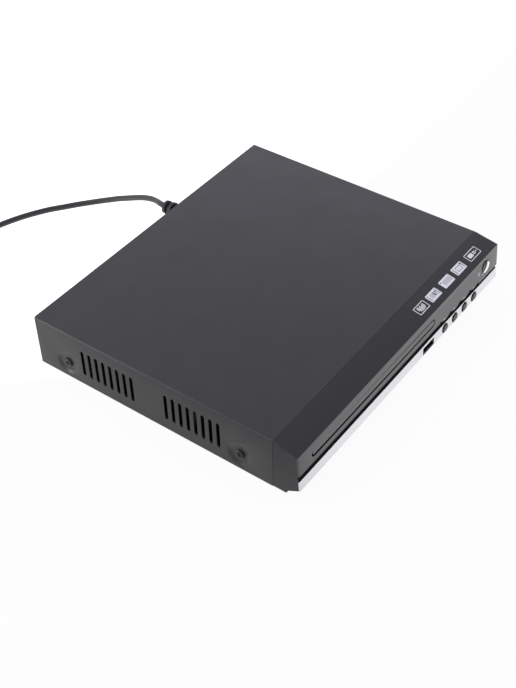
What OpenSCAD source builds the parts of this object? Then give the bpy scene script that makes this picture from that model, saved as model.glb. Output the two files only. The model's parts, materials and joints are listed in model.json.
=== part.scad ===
/* [Case] */
// Width of the case
body_w = 225; // [224:0.5:236]
// Depth of the sheet cover, from the front seam to its back edge
cover_d = 177.5; // [177:0.5:190]
// Height of the case without its feet
body_h = 36.8; // [36.6:0.1:42]
// Thickness of the sheet steel
sheet_t = 0.8; // [0.6:0.1:0.9]
// Outside radius of the cover's bends
bend_r = 1.2; // [1:0.1:2]
// Clearance between sheet parts
sheet_gap = 0.2; // [0.1:0.05:0.3]
// Height of the rubber feet
foot_h = 3; // [2:0.5:6]
// Radius of the rubber feet
foot_r = 6.5; // [5:0.5:9]
// Distance of the feet's centres from the pan's edges
foot_inset = 18; // [14:1:26]

/* [Vents and side screws] */
// Number of slots in a vent group
vent_count = 8; // [6:1:9]
// Distance between vent slots
vent_pitch = 5.45; // [4:0.05:6]
// Width of a vent slot
vent_w = 2.5; // [1.8:0.1:2.8]
// Height of the bottom of the vent slots
vent_low = 8.4; // [8:0.1:12]
// Height of the top of the vent slots
vent_high = 27.8; // [24:0.1:29]
// Centre of the front vent group behind the seam
vent_front_y = 57.6; // [54:0.1:62]
// Centre of the rear vent group behind the seam
vent_rear_y = 121.4; // [118:0.1:124]
// Place of the front side screw behind the seam
screw_front_y = 24.2; // [22:0.1:26]
// Distance of the rear side screw from the cover's back edge
screw_rear_in = 22.8; // [22:0.1:26]
// Height of the side screws
side_screw_z = 10.6; // [10.2:0.1:13]
// Outer radius of the dimple around a side screw
dimple_r = 8.8; // [7:0.1:9.2]
// Radius of the flat seat in the dimple
seat_r = 5.1; // [4:0.1:5.5]
// Depth of the dimple
dimple_depth = 1.3; // [1.1:0.1:1.6]
// Radius of a side screw's head
side_head_r = 3.2; // [2.6:0.1:3.6]
// Radius of a side screw's shank
side_shank_r = 1.45; // [1.2:0.05:1.6]

/* [Bezel and front face] */
// Depth of the bezel's top from the seam to its front edge
bezel_d = 15.9; // [15.5:0.1:18]
// Fall of the bezel's top towards the front
slope_drop = 3.4; // [2.8:0.1:3.8]
// How much further forward the face's lower edge stands
face_lean = 1.3; // [0.8:0.1:1.6]
// Thickness of the gloss fascia
fascia_t = 1; // [0.8:0.1:1.2]
// Height of the fascia's lower edge
fascia_low = 16.6; // [16.2:0.1:17]
// Lowest height of the lobes over the buttons
lobe_low = 17.4; // [17:0.1:17.8]
// Radius of the lobes over the buttons
lobe_r = 9.9; // [9.6:0.1:12]
// Wall of the bezel moulding
bezel_wall = 2; // [1.6:0.1:2.2]
// Height of the silver strip's top
strip_high = 14.3; // [14.3:0.1:14.8]
// Height of the silver strip's bottom
strip_low = 7.4; // [7.2:0.1:7.4]
// How much further forward the strip's bottom stands
strip_lean = 0.55; // [0.3:0.05:0.8]
// Thickness of the lip over the fascia
lip_t = 0.5; // [0.4:0.1:0.8]

/* [Buttons and sockets] */
// Distance of the first button's middle from the case's right side
button_x = 66.3; // [65.5:0.1:67]
// Distance between the buttons
button_pitch = 12.2; // [11.8:0.1:12.5]
// Number of buttons
button_count = 4; // [4:1:4]
// Height of the buttons
button_z = 10.9; // [10.8:0.1:11]
// Radius of a button
button_r = 3.05; // [2.8:0.05:3.1]
// How far a button stands out of the strip
button_proud = 0.6; // [0.4:0.1:1]
// Travel of a button
button_travel = 0.5; // [0.3:0.1:0.5]
// Distance of the power button's middle from the case's right side
power_x = 15.3; // [14:0.1:16.5]
// Height of the power button
power_z = 25; // [24.4:0.1:25.4]
// Radius of the power button
power_r = 4.45; // [4:0.05:5]
// Travel of the power button
power_travel = 0.9; // [0.5:0.1:1.1]
// Distance of the USB socket's middle from the case's right side
usb_x = 86.6; // [85.5:0.1:87.5]
// Width of the USB socket's mouth
usb_w = 12.5; // [12.4:0.1:12.8]
// Height of the USB socket's mouth
usb_h = 4.9; // [4.8:0.1:5.1]
// Height of the middle of the USB socket
usb_z = 10.6; // [10.5:0.1:10.7]
// Radius of a phono socket's sleeve
sleeve_r = 4.15; // [4:0.05:4.3]
// How far the phono sleeves stand out of the back
sleeve_len = 8.5; // [7.5:0.1:10]
// Distance between the phono sockets
phono_pitch = 13.5; // [13:0.1:14]
// Number of phono sockets
phono_count = 4; // [3:1:4]
// Height of the phono sockets
phono_z = 17.5; // [16:0.1:20]

/* [Tray] */
// Distance of the middle of the loader from the case's left side
loader_x = 78.8; // [78:0.1:79.5]
// Width of the tray
tray_w = 126; // [125.6:0.1:127]
// Height of the tray's underside
tray_low = 24.1; // [24:0.1:24.2]
// Thickness of the tray
tray_t = 4.4; // [4.2:0.1:4.5]
// Thickness of the tray's floor
tray_floor_t = 1; // [0.8:0.1:1.2]
// Height of the tray's floor over its underside
tray_floor_up = 1.4; // [1.3:0.1:1.5]
// Place of the disc's middle behind the seam
disc_y = 52; // [51.5:0.1:53]
// Radius of the recess for a large disc
disc_r = 60.6; // [60.3:0.1:60.8]
// Radius of the recess for a small disc
small_disc_r = 40.5; // [40.2:0.1:41]
// Half width of the slot for the turntable and the pickup
pickup_slot_r = 18; // [17:0.1:20]
// Length of the tray behind the disc's middle
tray_tail = 98; // [94:1:99]
// Travel of the tray
tray_travel = 128; // [120:1:128]
// Height of the door's slot
door_slot_h = 5.2; // [5:0.1:5.4]
// Width of the door's slot
door_slot_w = 131; // [130.6:0.1:131.6]

/* [Loader] */
// Clearance between moving pieces
gap = 0.3; // [0.3:0.05:0.35]
// Radial clearance of a shaft in its bore
fit = 0.05; // [0.03:0.01:0.08]
// Wall of the loader frame
loader_wall = 2; // [1.6:0.1:2.2]
// Height of the underside of the loader's floor
loader_low = 3; // [2.9:0.1:3.1]
// Module of the gear teeth
gear_mod = 1; // [1:0.1:1]
// Teeth on the tray gear
tray_gear_n = 20; // [20:1:20]
// Teeth on the pinion
pinion_n = 14; // [14:1:14]
// Groove radius of the large pulley
pulley_r = 8; // [7.6:0.1:8]
// Groove radius of the motor pulley
motor_pulley_r = 2.5; // [2.2:0.1:3]
// Side of the square belt
belt_t = 1.4; // [1.2:0.1:1.4]
// Radius of the loading motor
motor_r = 9; // [8:0.1:9.2]
// Height of the deck plate's underside
deck_z = 18; // [17.9:0.1:18.2]
// Thickness of the deck plate
deck_t = 1.2; // [1:0.1:1.2]
// Place of the deck's hinge behind the seam
hinge_y = 131; // [131:0.5:133]
// Tilt of the deck when the disc is let go
deck_tilt = 3.2; // [2.8:0.1:3.4]
// Travel of the cam slider
cam_travel = 12; // [10:0.5:14]
// Radius of the turntable
turntable_r = 14.5; // [13:0.1:14.8]
// Travel of the pickup sled
sled_travel = 34; // [30:0.5:34]
// Radius of the guide rods
rod_r = 1.5; // [1.2:0.1:1.6]
// Height of the guide rods
rod_z = 20; // [19.9:0.1:20.2]

/* [Boards] */
// Thickness of the circuit boards
pcb_t = 1.6; // [1.4:0.1:1.8]
// Height of the boards' undersides
pcb_z = 6; // [5:0.1:6.5]
// Distance of the boards' left edge from the case's right side
pcb_x = 66.5; // [65.5:0.1:67]
// Width of the boards
pcb_w = 60; // [59:0.5:62]

/* [Mains cord] */
// Radius of the cord
cord_r = 2.1; // [1.8:0.1:2.2]
// Distance of the cord's exit from the case's right side
exit_x = 76.5; // [74.5:0.5:77.5]
// Height of the cord's exit
exit_z = 20; // [16:0.5:22]
// Length of the strain relief outside the back
relief_len = 20.8; // [20:0.1:22]
// Turns beside each other in the coil
coil_wide = 4; // [4:1:4]
// Turns on each other in the coil
coil_high = 2; // [2:1:2]

/* [Hidden] */
$fn = 48;
eps = 0.01;

// Places across the case, from its sides
power_mid = body_w / 2 - power_x;
usb_mid = body_w / 2 - usb_x;
button_left = body_w / 2 - button_x;
board_left = body_w / 2 - pcb_x;
exit_mid = body_w / 2 - exit_x;
loader_mid = loader_x - body_w / 2;

// Case
side_in = body_w / 2 - sheet_t;
pan_half = side_in - dimple_depth - 0.1;
pan_front = 4;
pan_seam = 0.3;
pan_foot = 3.5;
pan_lip_h = 6.5;
tab_w = 18;
tab_top = side_screw_z + 6;
rear_out = cover_d - 0.3;
rear_in = rear_out - sheet_t;
screw_ys = [screw_front_y, cover_d - screw_rear_in];

// Front face
face_top = body_h - slope_drop;
fascia_top = face_top - lip_t;
function face_y(z) = -bezel_d - face_lean * (face_top - z) / (face_top - fascia_low);
function skin_y(z) = face_y(z) + fascia_t;
function top_z(y) = body_h + slope_drop * y / bezel_d;
strip_y = face_y(fascia_low);
front_y = strip_y - strip_lean;
button_front = front_y - button_proud + strip_lean / 2;
seam_y = -(button_front + rear_out + sleeve_len) / 2;
button_xs = [for (i = [0:button_count - 1]) button_left + i * button_pitch];
hole_gap = 0.3;
button_gap = 0.15;
notch_y = -9.6;
notch_z = 3;
tip_y = -8.3;
bottom_z = 0.4;
front_in = skin_y(strip_low) + bezel_wall;

// Tray and loader
tray_top = tray_low + tray_t;
floor_low = tray_low + tray_floor_up;
floor_top = floor_low + tray_floor_t;
door_z = tray_low + tray_t / 2;
door_gap = 0.4;
tray_front = face_y(door_z) + 3.2;
tray_back = disc_y + tray_tail;
tray_in = tray_w / 2;
rail_w = 2;
wall_in = tray_in + gap;
wall_out = wall_in + loader_wall;
floor_z = loader_low + 2;
wall_top = tray_top + 1.1;
ledge_top = tray_low - gap;
ledge_low = ledge_top - 1.6;
loader_front = 3;
loader_back = tray_back + 2;
pitch = PI * gear_mod;
gear_r = tray_gear_n * gear_mod / 2;
pinion_r = pinion_n * gear_mod / 2;
addendum = 0.8 * gear_mod;
dedendum = 1.1 * gear_mod;
rack_x = tray_in - rail_w - 1.5;
gear_pos = [loader_mid + rack_x - gear_r, 16.5];
pulley_dx = 2.5;
pulley_dy = sqrt(pow(gear_r + pinion_r, 2) - pow(pulley_dx, 2));
pulley_pos = gear_pos + [pulley_dx, pulley_dy];
motor_pos = [loader_mid + wall_in - motor_r - 0.3, 66];
deck_top = deck_z + deck_t;
gear_low = deck_top + gap + 0.1;
gear_high = floor_low - gap;
pinion_high = gear_low + 3.2;
pulley_low = gear_low - 3.6;
groove_w = belt_t + 0.2;
belt_low = pulley_low + 1 + (groove_w - belt_t) / 2;
post_r = 1.5;

// Deck
ring_low = deck_z - 5;
ring_high = deck_z - 1.5;
ring_w = 41;
plate_w = 39;
ring_front = 10.5;
ring_back = hinge_y + 4;
plate_front = 18;
plate_back = hinge_y + 3;
hinge_z = (ring_low + ring_high) / 2;
pin_r = 1.5;
cam_y = loader_front + loader_wall + 0.4;
cam_t = 3;
pin_drop = (hinge_y - cam_y - cam_t / 2) * sin(deck_tilt);
cam_pin_x = loader_mid - 4;
window_w = 27;
screw_x = 31;
sled_y = disc_y + turntable_r + 1;
sled_len = 24;
window_front = sled_y - 0.4;
window_back = sled_y + sled_len + sled_travel + 1;
rod_x = 24;
lens_y = sled_y + 9.5;
rim_top = floor_top + 0.6;
bridge_t = 0.8;
puck_rim_t = 0.9;
bridge_half = 17;

// Boards and phono sockets
main_y0 = 96;
main_y1 = rear_in - 4.4;
power_y0 = 12;
power_y1 = 86;
board_top = pcb_z + pcb_t;
board_z = button_z - 3.2 - pcb_t;
board_x0 = usb_mid - 12;
board_x1 = power_mid + 10;
phono_xs = [for (i = [0:phono_count - 1]) board_left + 8 + i * phono_pitch];

// Cord
cord_steps = 8;
floor_cord_z = cord_r - foot_h;
function cord_place(p) = [exit_mid + p[0], rear_out + p[1],
    floor_cord_z + p[2] * (exit_z - floor_cord_z)];
coil_mid_r = 23.2;
coil_pos = [exit_mid - 132, rear_out + 99];
coil_in = coil_mid_r - coil_wide * cord_r;
coil_out = coil_mid_r + coil_wide * cord_r;
coil_h = 2 * cord_r * coil_high;
// Each stop: across from the exit, behind the back, share of the exit's height
cord_stops = [[0, relief_len, 1], [0, relief_len + 1, 1], [0.8, 26, 0.98], [3, 31.6, 0.915], [4.3, 37, 0.85],
    [5, 43, 0.76], [4.9, 49, 0.66], [4.2, 54.6, 0.56], [3, 61, 0.45], [1.3, 67, 0.36],
    [-1.2, 73, 0.27], [-4.5, 79.8, 0.175], [-8.8, 86.8, 0.09], [-14.7, 93.9, 0.035],
    [-21.4, 100.3, 0], [-29, 106.3, 0], [-36.7, 111.2, 0], [-43.7, 115.1, 0], [-51.1, 118.6, 0],
    [-57.7, 121.3, 0], [-63.8, 123.5, 0], [-70.7, 125.6, 0], [-77.5, 127.2, 0], [-85, 128.2, 0],
    [-93, 128.7, 0], [-101, 128.8, 0], [-112, 128.7, 0], [-123, 128.6, 0], [-132, 128.5, 0]];
tail_z = coil_h - foot_h - cord_r;
plug_t = 13;
plug_z = plug_t / 2 - foot_h;
tail_points = [[exit_mid - 132, rear_out + 128.5, tail_z], [exit_mid - 139, rear_out + 128.5, tail_z],
    [exit_mid - 145, rear_out + 128.5, (tail_z + plug_z) / 2], [exit_mid - 151, rear_out + 128.5, plug_z],
    [exit_mid - 153, rear_out + 128.5, plug_z]];
plug_pos = tail_points[4];

module in_case() translate([0, seam_y, foot_h]) children();
module both_sides() { children(); mirror([1, 0, 0]) children(); }
module along_y(y0, y1) translate([0, y1, 0]) rotate([90, 0, 0]) linear_extrude(y1 - y0) children();
module along_x(x0, x1)
    translate([x0, 0, 0]) rotate([90, 0, 90]) linear_extrude(x1 - x0) children();
module block(low, high) translate(low) cube(high - low);
module round_bar(w, h) {
    square([w - h, h], center = true);
    for (side = [-1, 1]) translate([side * (w - h) / 2, 0]) circle(h / 2);
}
module post(pos, z0, z1, r) translate([pos[0], pos[1], z0]) cylinder(h = z1 - z0, r = r);
module ring(pos, z0, z1, r, bore) difference() {
    post(pos, z0, z1, r);
    post(pos, z0 - 1, z1 + 1, bore);
}

// Case
module cover_outline() difference() {
    union() {
        translate([-body_w / 2, 0]) square([body_w, body_h - bend_r]);
        translate([-body_w / 2 + bend_r, 0]) square([body_w - 2 * bend_r, body_h]);
        for (side = [-1, 1]) translate([side * (body_w / 2 - bend_r), body_h - bend_r]) circle(bend_r);
    }
    translate([-side_in, -1]) square([2 * side_in, body_h - sheet_t + 1]);
}
module screw_dimple(y, grow, depth0, depth1)
    translate([body_w / 2 - depth0, y, side_screw_z]) rotate([0, -90, 0])
        cylinder(h = depth1 - depth0, r1 = dimple_r + grow, r2 = seat_r + grow);
module top_cover() color("#3c3c3e") in_case() difference() {
    union() {
        along_y(0, cover_d) cover_outline();
        both_sides() for (y = screw_ys) screw_dimple(y, 0.2, sheet_t - eps, sheet_t + dimple_depth);
    }
    both_sides() for (y = screw_ys) {
        screw_dimple(y, 0, 0, dimple_depth);
        translate([body_w / 2 - 5, y, side_screw_z]) rotate([0, 90, 0])
            cylinder(h = 6, r = side_shank_r + 0.25);
    }
    for (middle = [vent_front_y, vent_rear_y], i = [0:vent_count - 1])
        along_x(-body_w, body_w)
            translate([middle + (i - (vent_count - 1) / 2) * vent_pitch, (vent_low + vent_high) / 2])
                rotate(90) round_bar(vent_high - vent_low, vent_w);
}
board_posts = [for (x = [board_left + 4, board_left + pcb_w - 4], y = [power_y0 + 4, power_y1 - 4,
    main_y0 + 4, main_y1 - 20]) [x, y]];
loader_posts = [for (x = [-1, 1], y = [loader_front + 6, loader_back - 8])
    [loader_mid + x * (wall_out + 4), y]];
module chassis_pan() color("#9a9c9e") in_case() difference() {
    block([-pan_half, pan_seam, 0], [pan_half, rear_out, sheet_t]);
    for (p = concat(board_posts, loader_posts)) post(p, -1, sheet_t + 1, 1.2);
    for (i = [0:7], y = [power_y0 + 22, power_y0 + 46])
        block([board_left + 14 + i * 5, y, -1], [board_left + 16.4 + i * 5, y + 14, sheet_t + 1]);
}
module pan_rails() color("#9a9c9e") in_case() both_sides() difference() {
    union() {
        block([pan_half - pan_foot, pan_front, sheet_t], [pan_half, rear_in - 9.4, 2 * sheet_t]);
        block([pan_half - sheet_t, pan_front, sheet_t], [pan_half, rear_in - 0.4, pan_lip_h]);
        for (y = screw_ys)
            block([pan_half - sheet_t, y - tab_w / 2, sheet_t], [pan_half, y + tab_w / 2, tab_top]);
    }
    for (y = screw_ys) translate([pan_half - 3, y, side_screw_z]) rotate([0, 90, 0])
        cylinder(h = 5, r = side_shank_r + fit);
}
module standoffs() color("#c9ccd0") in_case() difference() {
    union() {
        for (p = board_posts) post(p, sheet_t, pcb_z, 3);
        for (p = loader_posts) post(p, sheet_t, loader_low, 3.4);
    }
    for (p = concat(board_posts, loader_posts)) post(p, 0, pcb_z + 1, 1.2);
}
module rear_panel() color("#9a9c9e") in_case() difference() {
    union() {
        block([-side_in + sheet_gap, rear_in, sheet_t],
            [side_in - sheet_gap, rear_out, body_h - sheet_t - sheet_gap]);
        block([-pan_half + 3, rear_in - 9, sheet_t], [pan_half - 3, rear_in + eps, 2 * sheet_t]);
    }
    for (x = phono_xs) translate([x, rear_out + 1, phono_z]) rotate([90, 0, 0])
        cylinder(h = 4, r = sleeve_r + 0.6);
    translate([exit_mid, rear_out + 1, exit_z]) rotate([90, 0, 0]) cylinder(h = 4, r = 4.55);
    for (i = [0:9]) along_y(rear_in - 1, rear_out + 1) translate([-body_w / 2 + 20.5 + i * 9, 20])
        rotate(90) round_bar(14, 2.4);
}
foot_xs = [-pan_half + foot_inset, pan_half - foot_inset];
foot_ys = [pan_front + foot_inset, rear_out - foot_inset];
module rubber_feet() color("#202022") in_case() for (x = foot_xs, y = foot_ys)
    translate([x, y, -foot_h]) {
        cylinder(h = foot_h * 0.4, r1 = foot_r - 0.8, r2 = foot_r);
        translate([0, 0, foot_h * 0.4 - eps]) cylinder(h = foot_h * 0.6 + eps, r = foot_r);
    }
module side_screw(y) translate([body_w / 2 - dimple_depth, y, side_screw_z]) rotate([0, 90, 0])
    difference() {
        union() {
            translate([0, 0, -6]) cylinder(h = 6 + eps, r = side_shank_r);
            cylinder(h = dimple_depth * 0.55, r = side_head_r);
            translate([0, 0, dimple_depth * 0.55 - eps])
                cylinder(h = dimple_depth * 0.45, r1 = side_head_r, r2 = side_head_r * 0.6);
        }
        for (turn = [0, 90]) rotate(turn) translate([-1.4, -0.3, dimple_depth * 0.35])
            cube([2.8, 0.6, 2]);
    }
module cover_screws() color("#26262a") in_case() both_sides() for (y = screw_ys) side_screw(y);

// Front
module bezel_outline() polygon([[0, bottom_z], [tip_y, bottom_z], [notch_y, notch_z],
    [skin_y(strip_low), strip_low], [skin_y(fascia_top), fascia_top],
    [-bezel_d, fascia_top], [-bezel_d, face_top], [0, body_h]]);
module bezel_hollow() polygon([[1, bottom_z + bezel_wall], [tip_y + 1, bottom_z + bezel_wall],
    [notch_y + 1.2, notch_z + bezel_wall], [front_in, strip_low + 1.6],
    [skin_y(fascia_top) + bezel_wall, top_z(-bezel_d) - bezel_wall], [1, body_h - bezel_wall]]);
module front_holes() for (x = button_xs) translate([x, button_z]) circle(button_r + button_gap);
socket_top = usb_z + usb_h / 2 + 0.2;
socket_half = usb_w / 2 + 0.25;
module door_slot(inset) translate([loader_mid, door_z])
    round_bar(door_slot_w - 2 * inset, door_slot_h - 2 * inset);
tongue_xs = [24.5 - body_w / 2, 0, body_w / 2 - 24.5];
front_posts = [for (x = [board_x0 + 4, button_xs[1] - 0.4, board_x1 - 4]) [x, 0]];
module front_bezel() color("#343436") in_case() difference() {
    union() {
        difference() {
            along_x(-body_w / 2, body_w / 2) bezel_outline();
            along_x(-body_w / 2 + bezel_wall, body_w / 2 - bezel_wall) bezel_hollow();
        }
        difference() {
            block([-side_in + sheet_gap, -2, 4],
                [side_in - sheet_gap, 3.4, body_h - sheet_t - sheet_gap]);
            block([-side_in + sheet_gap + 1.4, -3, 3],
                [side_in - sheet_gap - 1.4, 5, body_h - sheet_t - sheet_gap - 1.4]);
        }
        for (x = tongue_xs) block([x - 7, -3, sheet_t], [x + 7, 13, sheet_t + 1.8]);
        for (p = front_posts) post(p, bottom_z + 1, board_z, 2.6);
    }
    along_y(-25, 0) front_holes();
    block([usb_mid - socket_half - 0.2, -25, board_z + pcb_t - 0.1],
        [usb_mid + socket_half + 0.2, -1, socket_top + 0.2]);
    along_y(-25, -10) door_slot(0);
    along_y(-25, 0) translate([power_mid, power_z]) circle(power_r + hole_gap);
    for (p = front_posts) post(p, bottom_z + 1.6, board_z + 1, 1.2);
}
// Region of the fascia between its lower edge and its top, with a scalloped edge over the buttons
module fascia_front() difference() {
    translate([-body_w / 2, fascia_low]) square([body_w, fascia_top - fascia_low]);
    difference() {
        translate([button_xs[0] - button_pitch * 0.8, fascia_low - 1])
            square([button_pitch * (button_count + 0.25), lobe_low + 3.1 - fascia_low]);
        for (x = button_xs) translate([x, lobe_low + lobe_r]) circle(lobe_r, $fn = 96);
        translate([button_xs[0] - button_pitch * 0.8 - 1, lobe_low + 1.6])
            square([button_pitch * 0.3, 3]);
    }
    door_slot(0);
    translate([power_mid, power_z]) circle(power_r + hole_gap);
}
module leaned_slab(z0, z1, y0_top, y0_bottom, t) polygon([[y0_bottom, z0], [y0_top, z1],
    [y0_top + t, z1], [y0_bottom + t, z0]]);
module gloss_fascia() color("#17171a") in_case() intersection() {
    along_y(-25, 0) fascia_front();
    along_x(-body_w / 2, body_w / 2)
        leaned_slab(fascia_low, fascia_top, face_y(fascia_top), face_y(fascia_low), fascia_t);
}
module silver_trim() color("#dcdce0") in_case() difference() {
    along_x(-body_w / 2, body_w / 2) polygon([[front_y, strip_low], [strip_y, strip_high],
        [skin_y(strip_high), strip_high], [skin_y(strip_low), strip_low]]);
    along_y(-25, 0) front_holes();
    along_y(-25, 0) translate([usb_mid, usb_z]) square([usb_w + 0.5, usb_h], center = true);
}
inner_lean = (skin_y(fascia_top) - skin_y(strip_low)) / (top_z(-bezel_d) - bezel_wall - strip_low - 1.6);
flange_y = front_in + inner_lean * (button_z + 4 - strip_low - 1.6) + hole_gap;
module push_button(x) in_case() translate([x, 0, button_z]) rotate([-90, 0, 0]) {
    translate([0, 0, button_front]) cylinder(h = 0.5, r1 = button_r - 0.5, r2 = button_r);
    translate([0, 0, button_front + 0.5 - eps])
        cylinder(h = flange_y - button_front - 0.5 + 2 * eps, r = button_r);
    translate([-button_r - 1.1, -4, flange_y]) cube([2 * button_r + 2.2, 5.2, 0.8]);
    translate([0, 0, flange_y + 0.8 - eps]) cylinder(h = 0.7, r = 1.4);
}
module button_1() color("#5c5c60") push_button(button_xs[0]);
module button_2() color("#5c5c60") push_button(button_xs[1]);
module button_3() color("#5c5c60") push_button(button_xs[2]);
module button_4() color("#5c5c60") push_button(button_xs[3]);
power_face = face_y(power_z) - 0.5;
power_flange = skin_y(power_z) + bezel_wall + 0.9;
module power_button() color("#b4b4ba") in_case() translate([power_mid, 0, power_z])
    rotate([-90, 0, 0]) difference() {
        union() {
            translate([0, 0, power_face]) cylinder(h = 0.5, r1 = power_r - 0.5, r2 = power_r);
            translate([0, 0, power_face + 0.5 - eps])
                cylinder(h = power_flange - power_face - 0.5 + 2 * eps, r = power_r);
            translate([0, 0, power_flange]) cylinder(h = 0.8, r = power_r + 1.1);
            translate([0, 0, power_flange + 0.8 - eps]) cylinder(h = 0.9, r = 1.8);
        }
        translate([0, 0, power_face - 17.6]) sphere(r = 18, $fn = 96);
    }
front_board_y0 = -10;
module front_board() color("#2f6b42") in_case() difference() {
    block([board_x0, front_board_y0, board_z],
        [board_x1, 2.4, board_z + pcb_t]);
    for (p = front_posts) post(p, 0, 12, 1.3);
}
switch_y = flange_y + 1.5 + 0.6;
module tact_switches() color("#cfcfd2") in_case() for (x = button_xs) {
    block([x - 3, switch_y + 0.9, board_z + pcb_t], [x + 3, switch_y + 4.4, button_z + 3]);
    translate([x, switch_y, button_z]) rotate([-90, 0, 0]) cylinder(h = 1, r = 1.5);
}
usb_mouth = skin_y(usb_z) + 0.2;
module usb_socket() color("#b9bcc0") in_case() {
    difference() {
        block([usb_mid - socket_half, usb_mouth, board_z + pcb_t],
            [usb_mid + socket_half, usb_mouth + 14, socket_top]);
        block([usb_mid - usb_w / 2 + 0.1, usb_mouth - 1, board_z + pcb_t + 0.3],
            [usb_mid + usb_w / 2 - 0.1, usb_mouth + 13.6, usb_z + usb_h / 2 - 0.1]);
    }
    block([usb_mid - 5.6, usb_mouth + 4.6, usb_z + 0.3], [usb_mid + 5.6, usb_mouth + 13.7, usb_z + 2]);
}
standby_y = power_flange + 1.7 + power_travel + 0.1 + 5.5;
module standby_board() color("#2f6b42") in_case()
    block([power_mid - 44, standby_y, board_z + pcb_t],
        [power_mid + 10, standby_y + pcb_t, power_z + 6.5]);
module standby_parts() color("#2a2a2e") in_case() {
    block([power_mid - 4, standby_y - 4.5, power_z - 4], [power_mid + 4, standby_y, power_z + 4]);
    translate([power_mid, standby_y - 5.5, power_z]) rotate([-90, 0, 0]) cylinder(h = 1.1, r = 2);
    block([power_mid - 40, standby_y - 5, power_z - 1], [power_mid - 33, standby_y, power_z + 5]);
    block([power_mid - 22, standby_y - 3, power_z - 6], [power_mid - 14, standby_y, power_z - 2]);
}

// Boards
module board(y0, y1) difference() {
    block([board_left, y0, pcb_z], [board_left + pcb_w, y1, board_top]);
    for (p = board_posts) post(p, 0, 12, 1.3);
}
module main_board() color("#2f6b42") in_case() board(main_y0, main_y1);
chip_y = main_y0 + (main_y1 - main_y0 - 44) / 2;
module main_chips() color("#1d1d20") in_case() {
    block([board_left + 16, chip_y, board_top], [board_left + 38, chip_y + 22, board_top + 1.6]);
    block([board_left + 42, chip_y + 2, board_top], [board_left + 56, chip_y + 12, board_top + 1.2]);
    block([board_left + 42, chip_y + 18, board_top], [board_left + 52, chip_y + 26, board_top + 1.4]);
    block([board_left + 8, chip_y + 26, board_top], [board_left + 18, chip_y + 35, board_top + 1.6]);
    block([board_left + 1, main_y0 + 8, board_top], [board_left + 5, main_y0 + 30, board_top + 2.6]);
}
module main_capacitors() color("#3a3f7a") in_case() {
    for (x = [22, 30, 38], y = [main_y1 - 26, main_y1 - 18])
        post([board_left + x, y], board_top, board_top + 9, 2.5);
    for (x = [44, 50]) post([board_left + x, main_y1 - 22], board_top, board_top + 11, 2.5);
}
module power_board() color("#b08a4a") in_case() board(power_y0, power_y1);
module power_transformer() color("#caa13a") in_case() {
    block([board_left + 16, 44, board_top], [board_left + 42, 50, board_top + 18]);
    block([board_left + 16, 56, board_top], [board_left + 42, 62, board_top + 18]);
    block([board_left + 16, 48, board_top + 2], [board_left + 20, 58, board_top + 18]);
    block([board_left + 38, 48, board_top + 2], [board_left + 42, 58, board_top + 18]);
    block([board_left + 20 - eps, 46, board_top + 2.5], [board_left + 38 + eps, 60, board_top + 16]);
}
module power_parts() color("#24242a") in_case() {
    post([board_left + 14, 30], board_top, board_top + 20, 6);
    for (x = [30, 40, 50]) post([board_left + x, 78], board_top, board_top + 14, 4);
    translate([board_left + 26, 24, board_top + 2.6]) rotate([0, 90, 0]) cylinder(h = 20, r = 2.6);
    block([board_left + 50, 30, board_top], [board_left + 52, 62, board_top + 20]);
    for (i = [0:3]) block([board_left + 52 - eps, 32 + i * 8, board_top + 4],
        [board_left + 57, 33.4 + i * 8, board_top + 20]);
    block([board_left + 1, 68, board_top], [board_left + 9, 76, board_top + 8]);
}
module pan_head(p, z, r) {
    post(p, z, z + 1.6, r);
    post(p, z - 5, z + eps, 1.1);
}
module board_screws() color("#b9bcc0") in_case() {
    for (p = board_posts) pan_head(p, board_top, 2.6);
    for (p = front_posts) pan_head(p, board_z + pcb_t, 2);
}
ribbon_t = 0.3;
ribbon_x = [board_left - 5, board_left - 0.5];
module front_ribbon() color("#d8d8da") in_case() {
    low = sheet_t + 0.1;
    high = board_z + pcb_t;
    block([ribbon_x[0], -1, high], [board_left + 5, 3, high + ribbon_t]);
    block([ribbon_x[0], 2.8, high], [board_left + 5, 2.8 + ribbon_t, high + 5]);
    block([ribbon_x[0], 2.8, high + 5 - ribbon_t], [ribbon_x[1], 11, high + 5]);
    block([ribbon_x[0], 11 - ribbon_t, low], [ribbon_x[1], 11, high + 5]);
    block([ribbon_x[0], 11 - ribbon_t, low], [ribbon_x[1], 100, low + ribbon_t]);
    block([ribbon_x[0], 100 - ribbon_t, low], [ribbon_x[1], 100, board_top + 3]);
    block([ribbon_x[0], 100 - ribbon_t, board_top + 2.7], [board_left + 5, 104.5, board_top + 3]);
}
wire_r = 0.7;
wire_x = board_left - 7.2;
wire_path = [[exit_mid, rear_in - 8.5, exit_z], [exit_mid, rear_in - 9.5, exit_z],
    [exit_mid + 1, rear_in - 16, exit_z - 5], [wire_x, rear_in - 24.4, 11],
    [wire_x, rear_in - 32.4, 9], [wire_x, power_y1, 9],
    [wire_x + 1, 78, 10], [wire_x + 3.6, 73.4, 11.2], [board_left, 72, 11.6]];
module mains_wires() color("#7a3a2a") in_case() for (side = [-1, 1])
    cord_tube([for (p = wire_path) p + side * [0.7, 0, 0.9]], wire_r);
phono_front = rear_in - 11;
phono_root = sleeve_r + 0.25;
module phono_block() color("#1e1e22") in_case() difference() {
    block([phono_xs[0] - 6.5, phono_front, board_top],
        [phono_xs[phono_count - 1] + 6.5, rear_in, phono_z + 7]);
    for (x = phono_xs) translate([x, rear_in - 4, phono_z]) rotate([-90, 0, 0])
        cylinder(h = 5, r = phono_root + 0.02);
}
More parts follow.
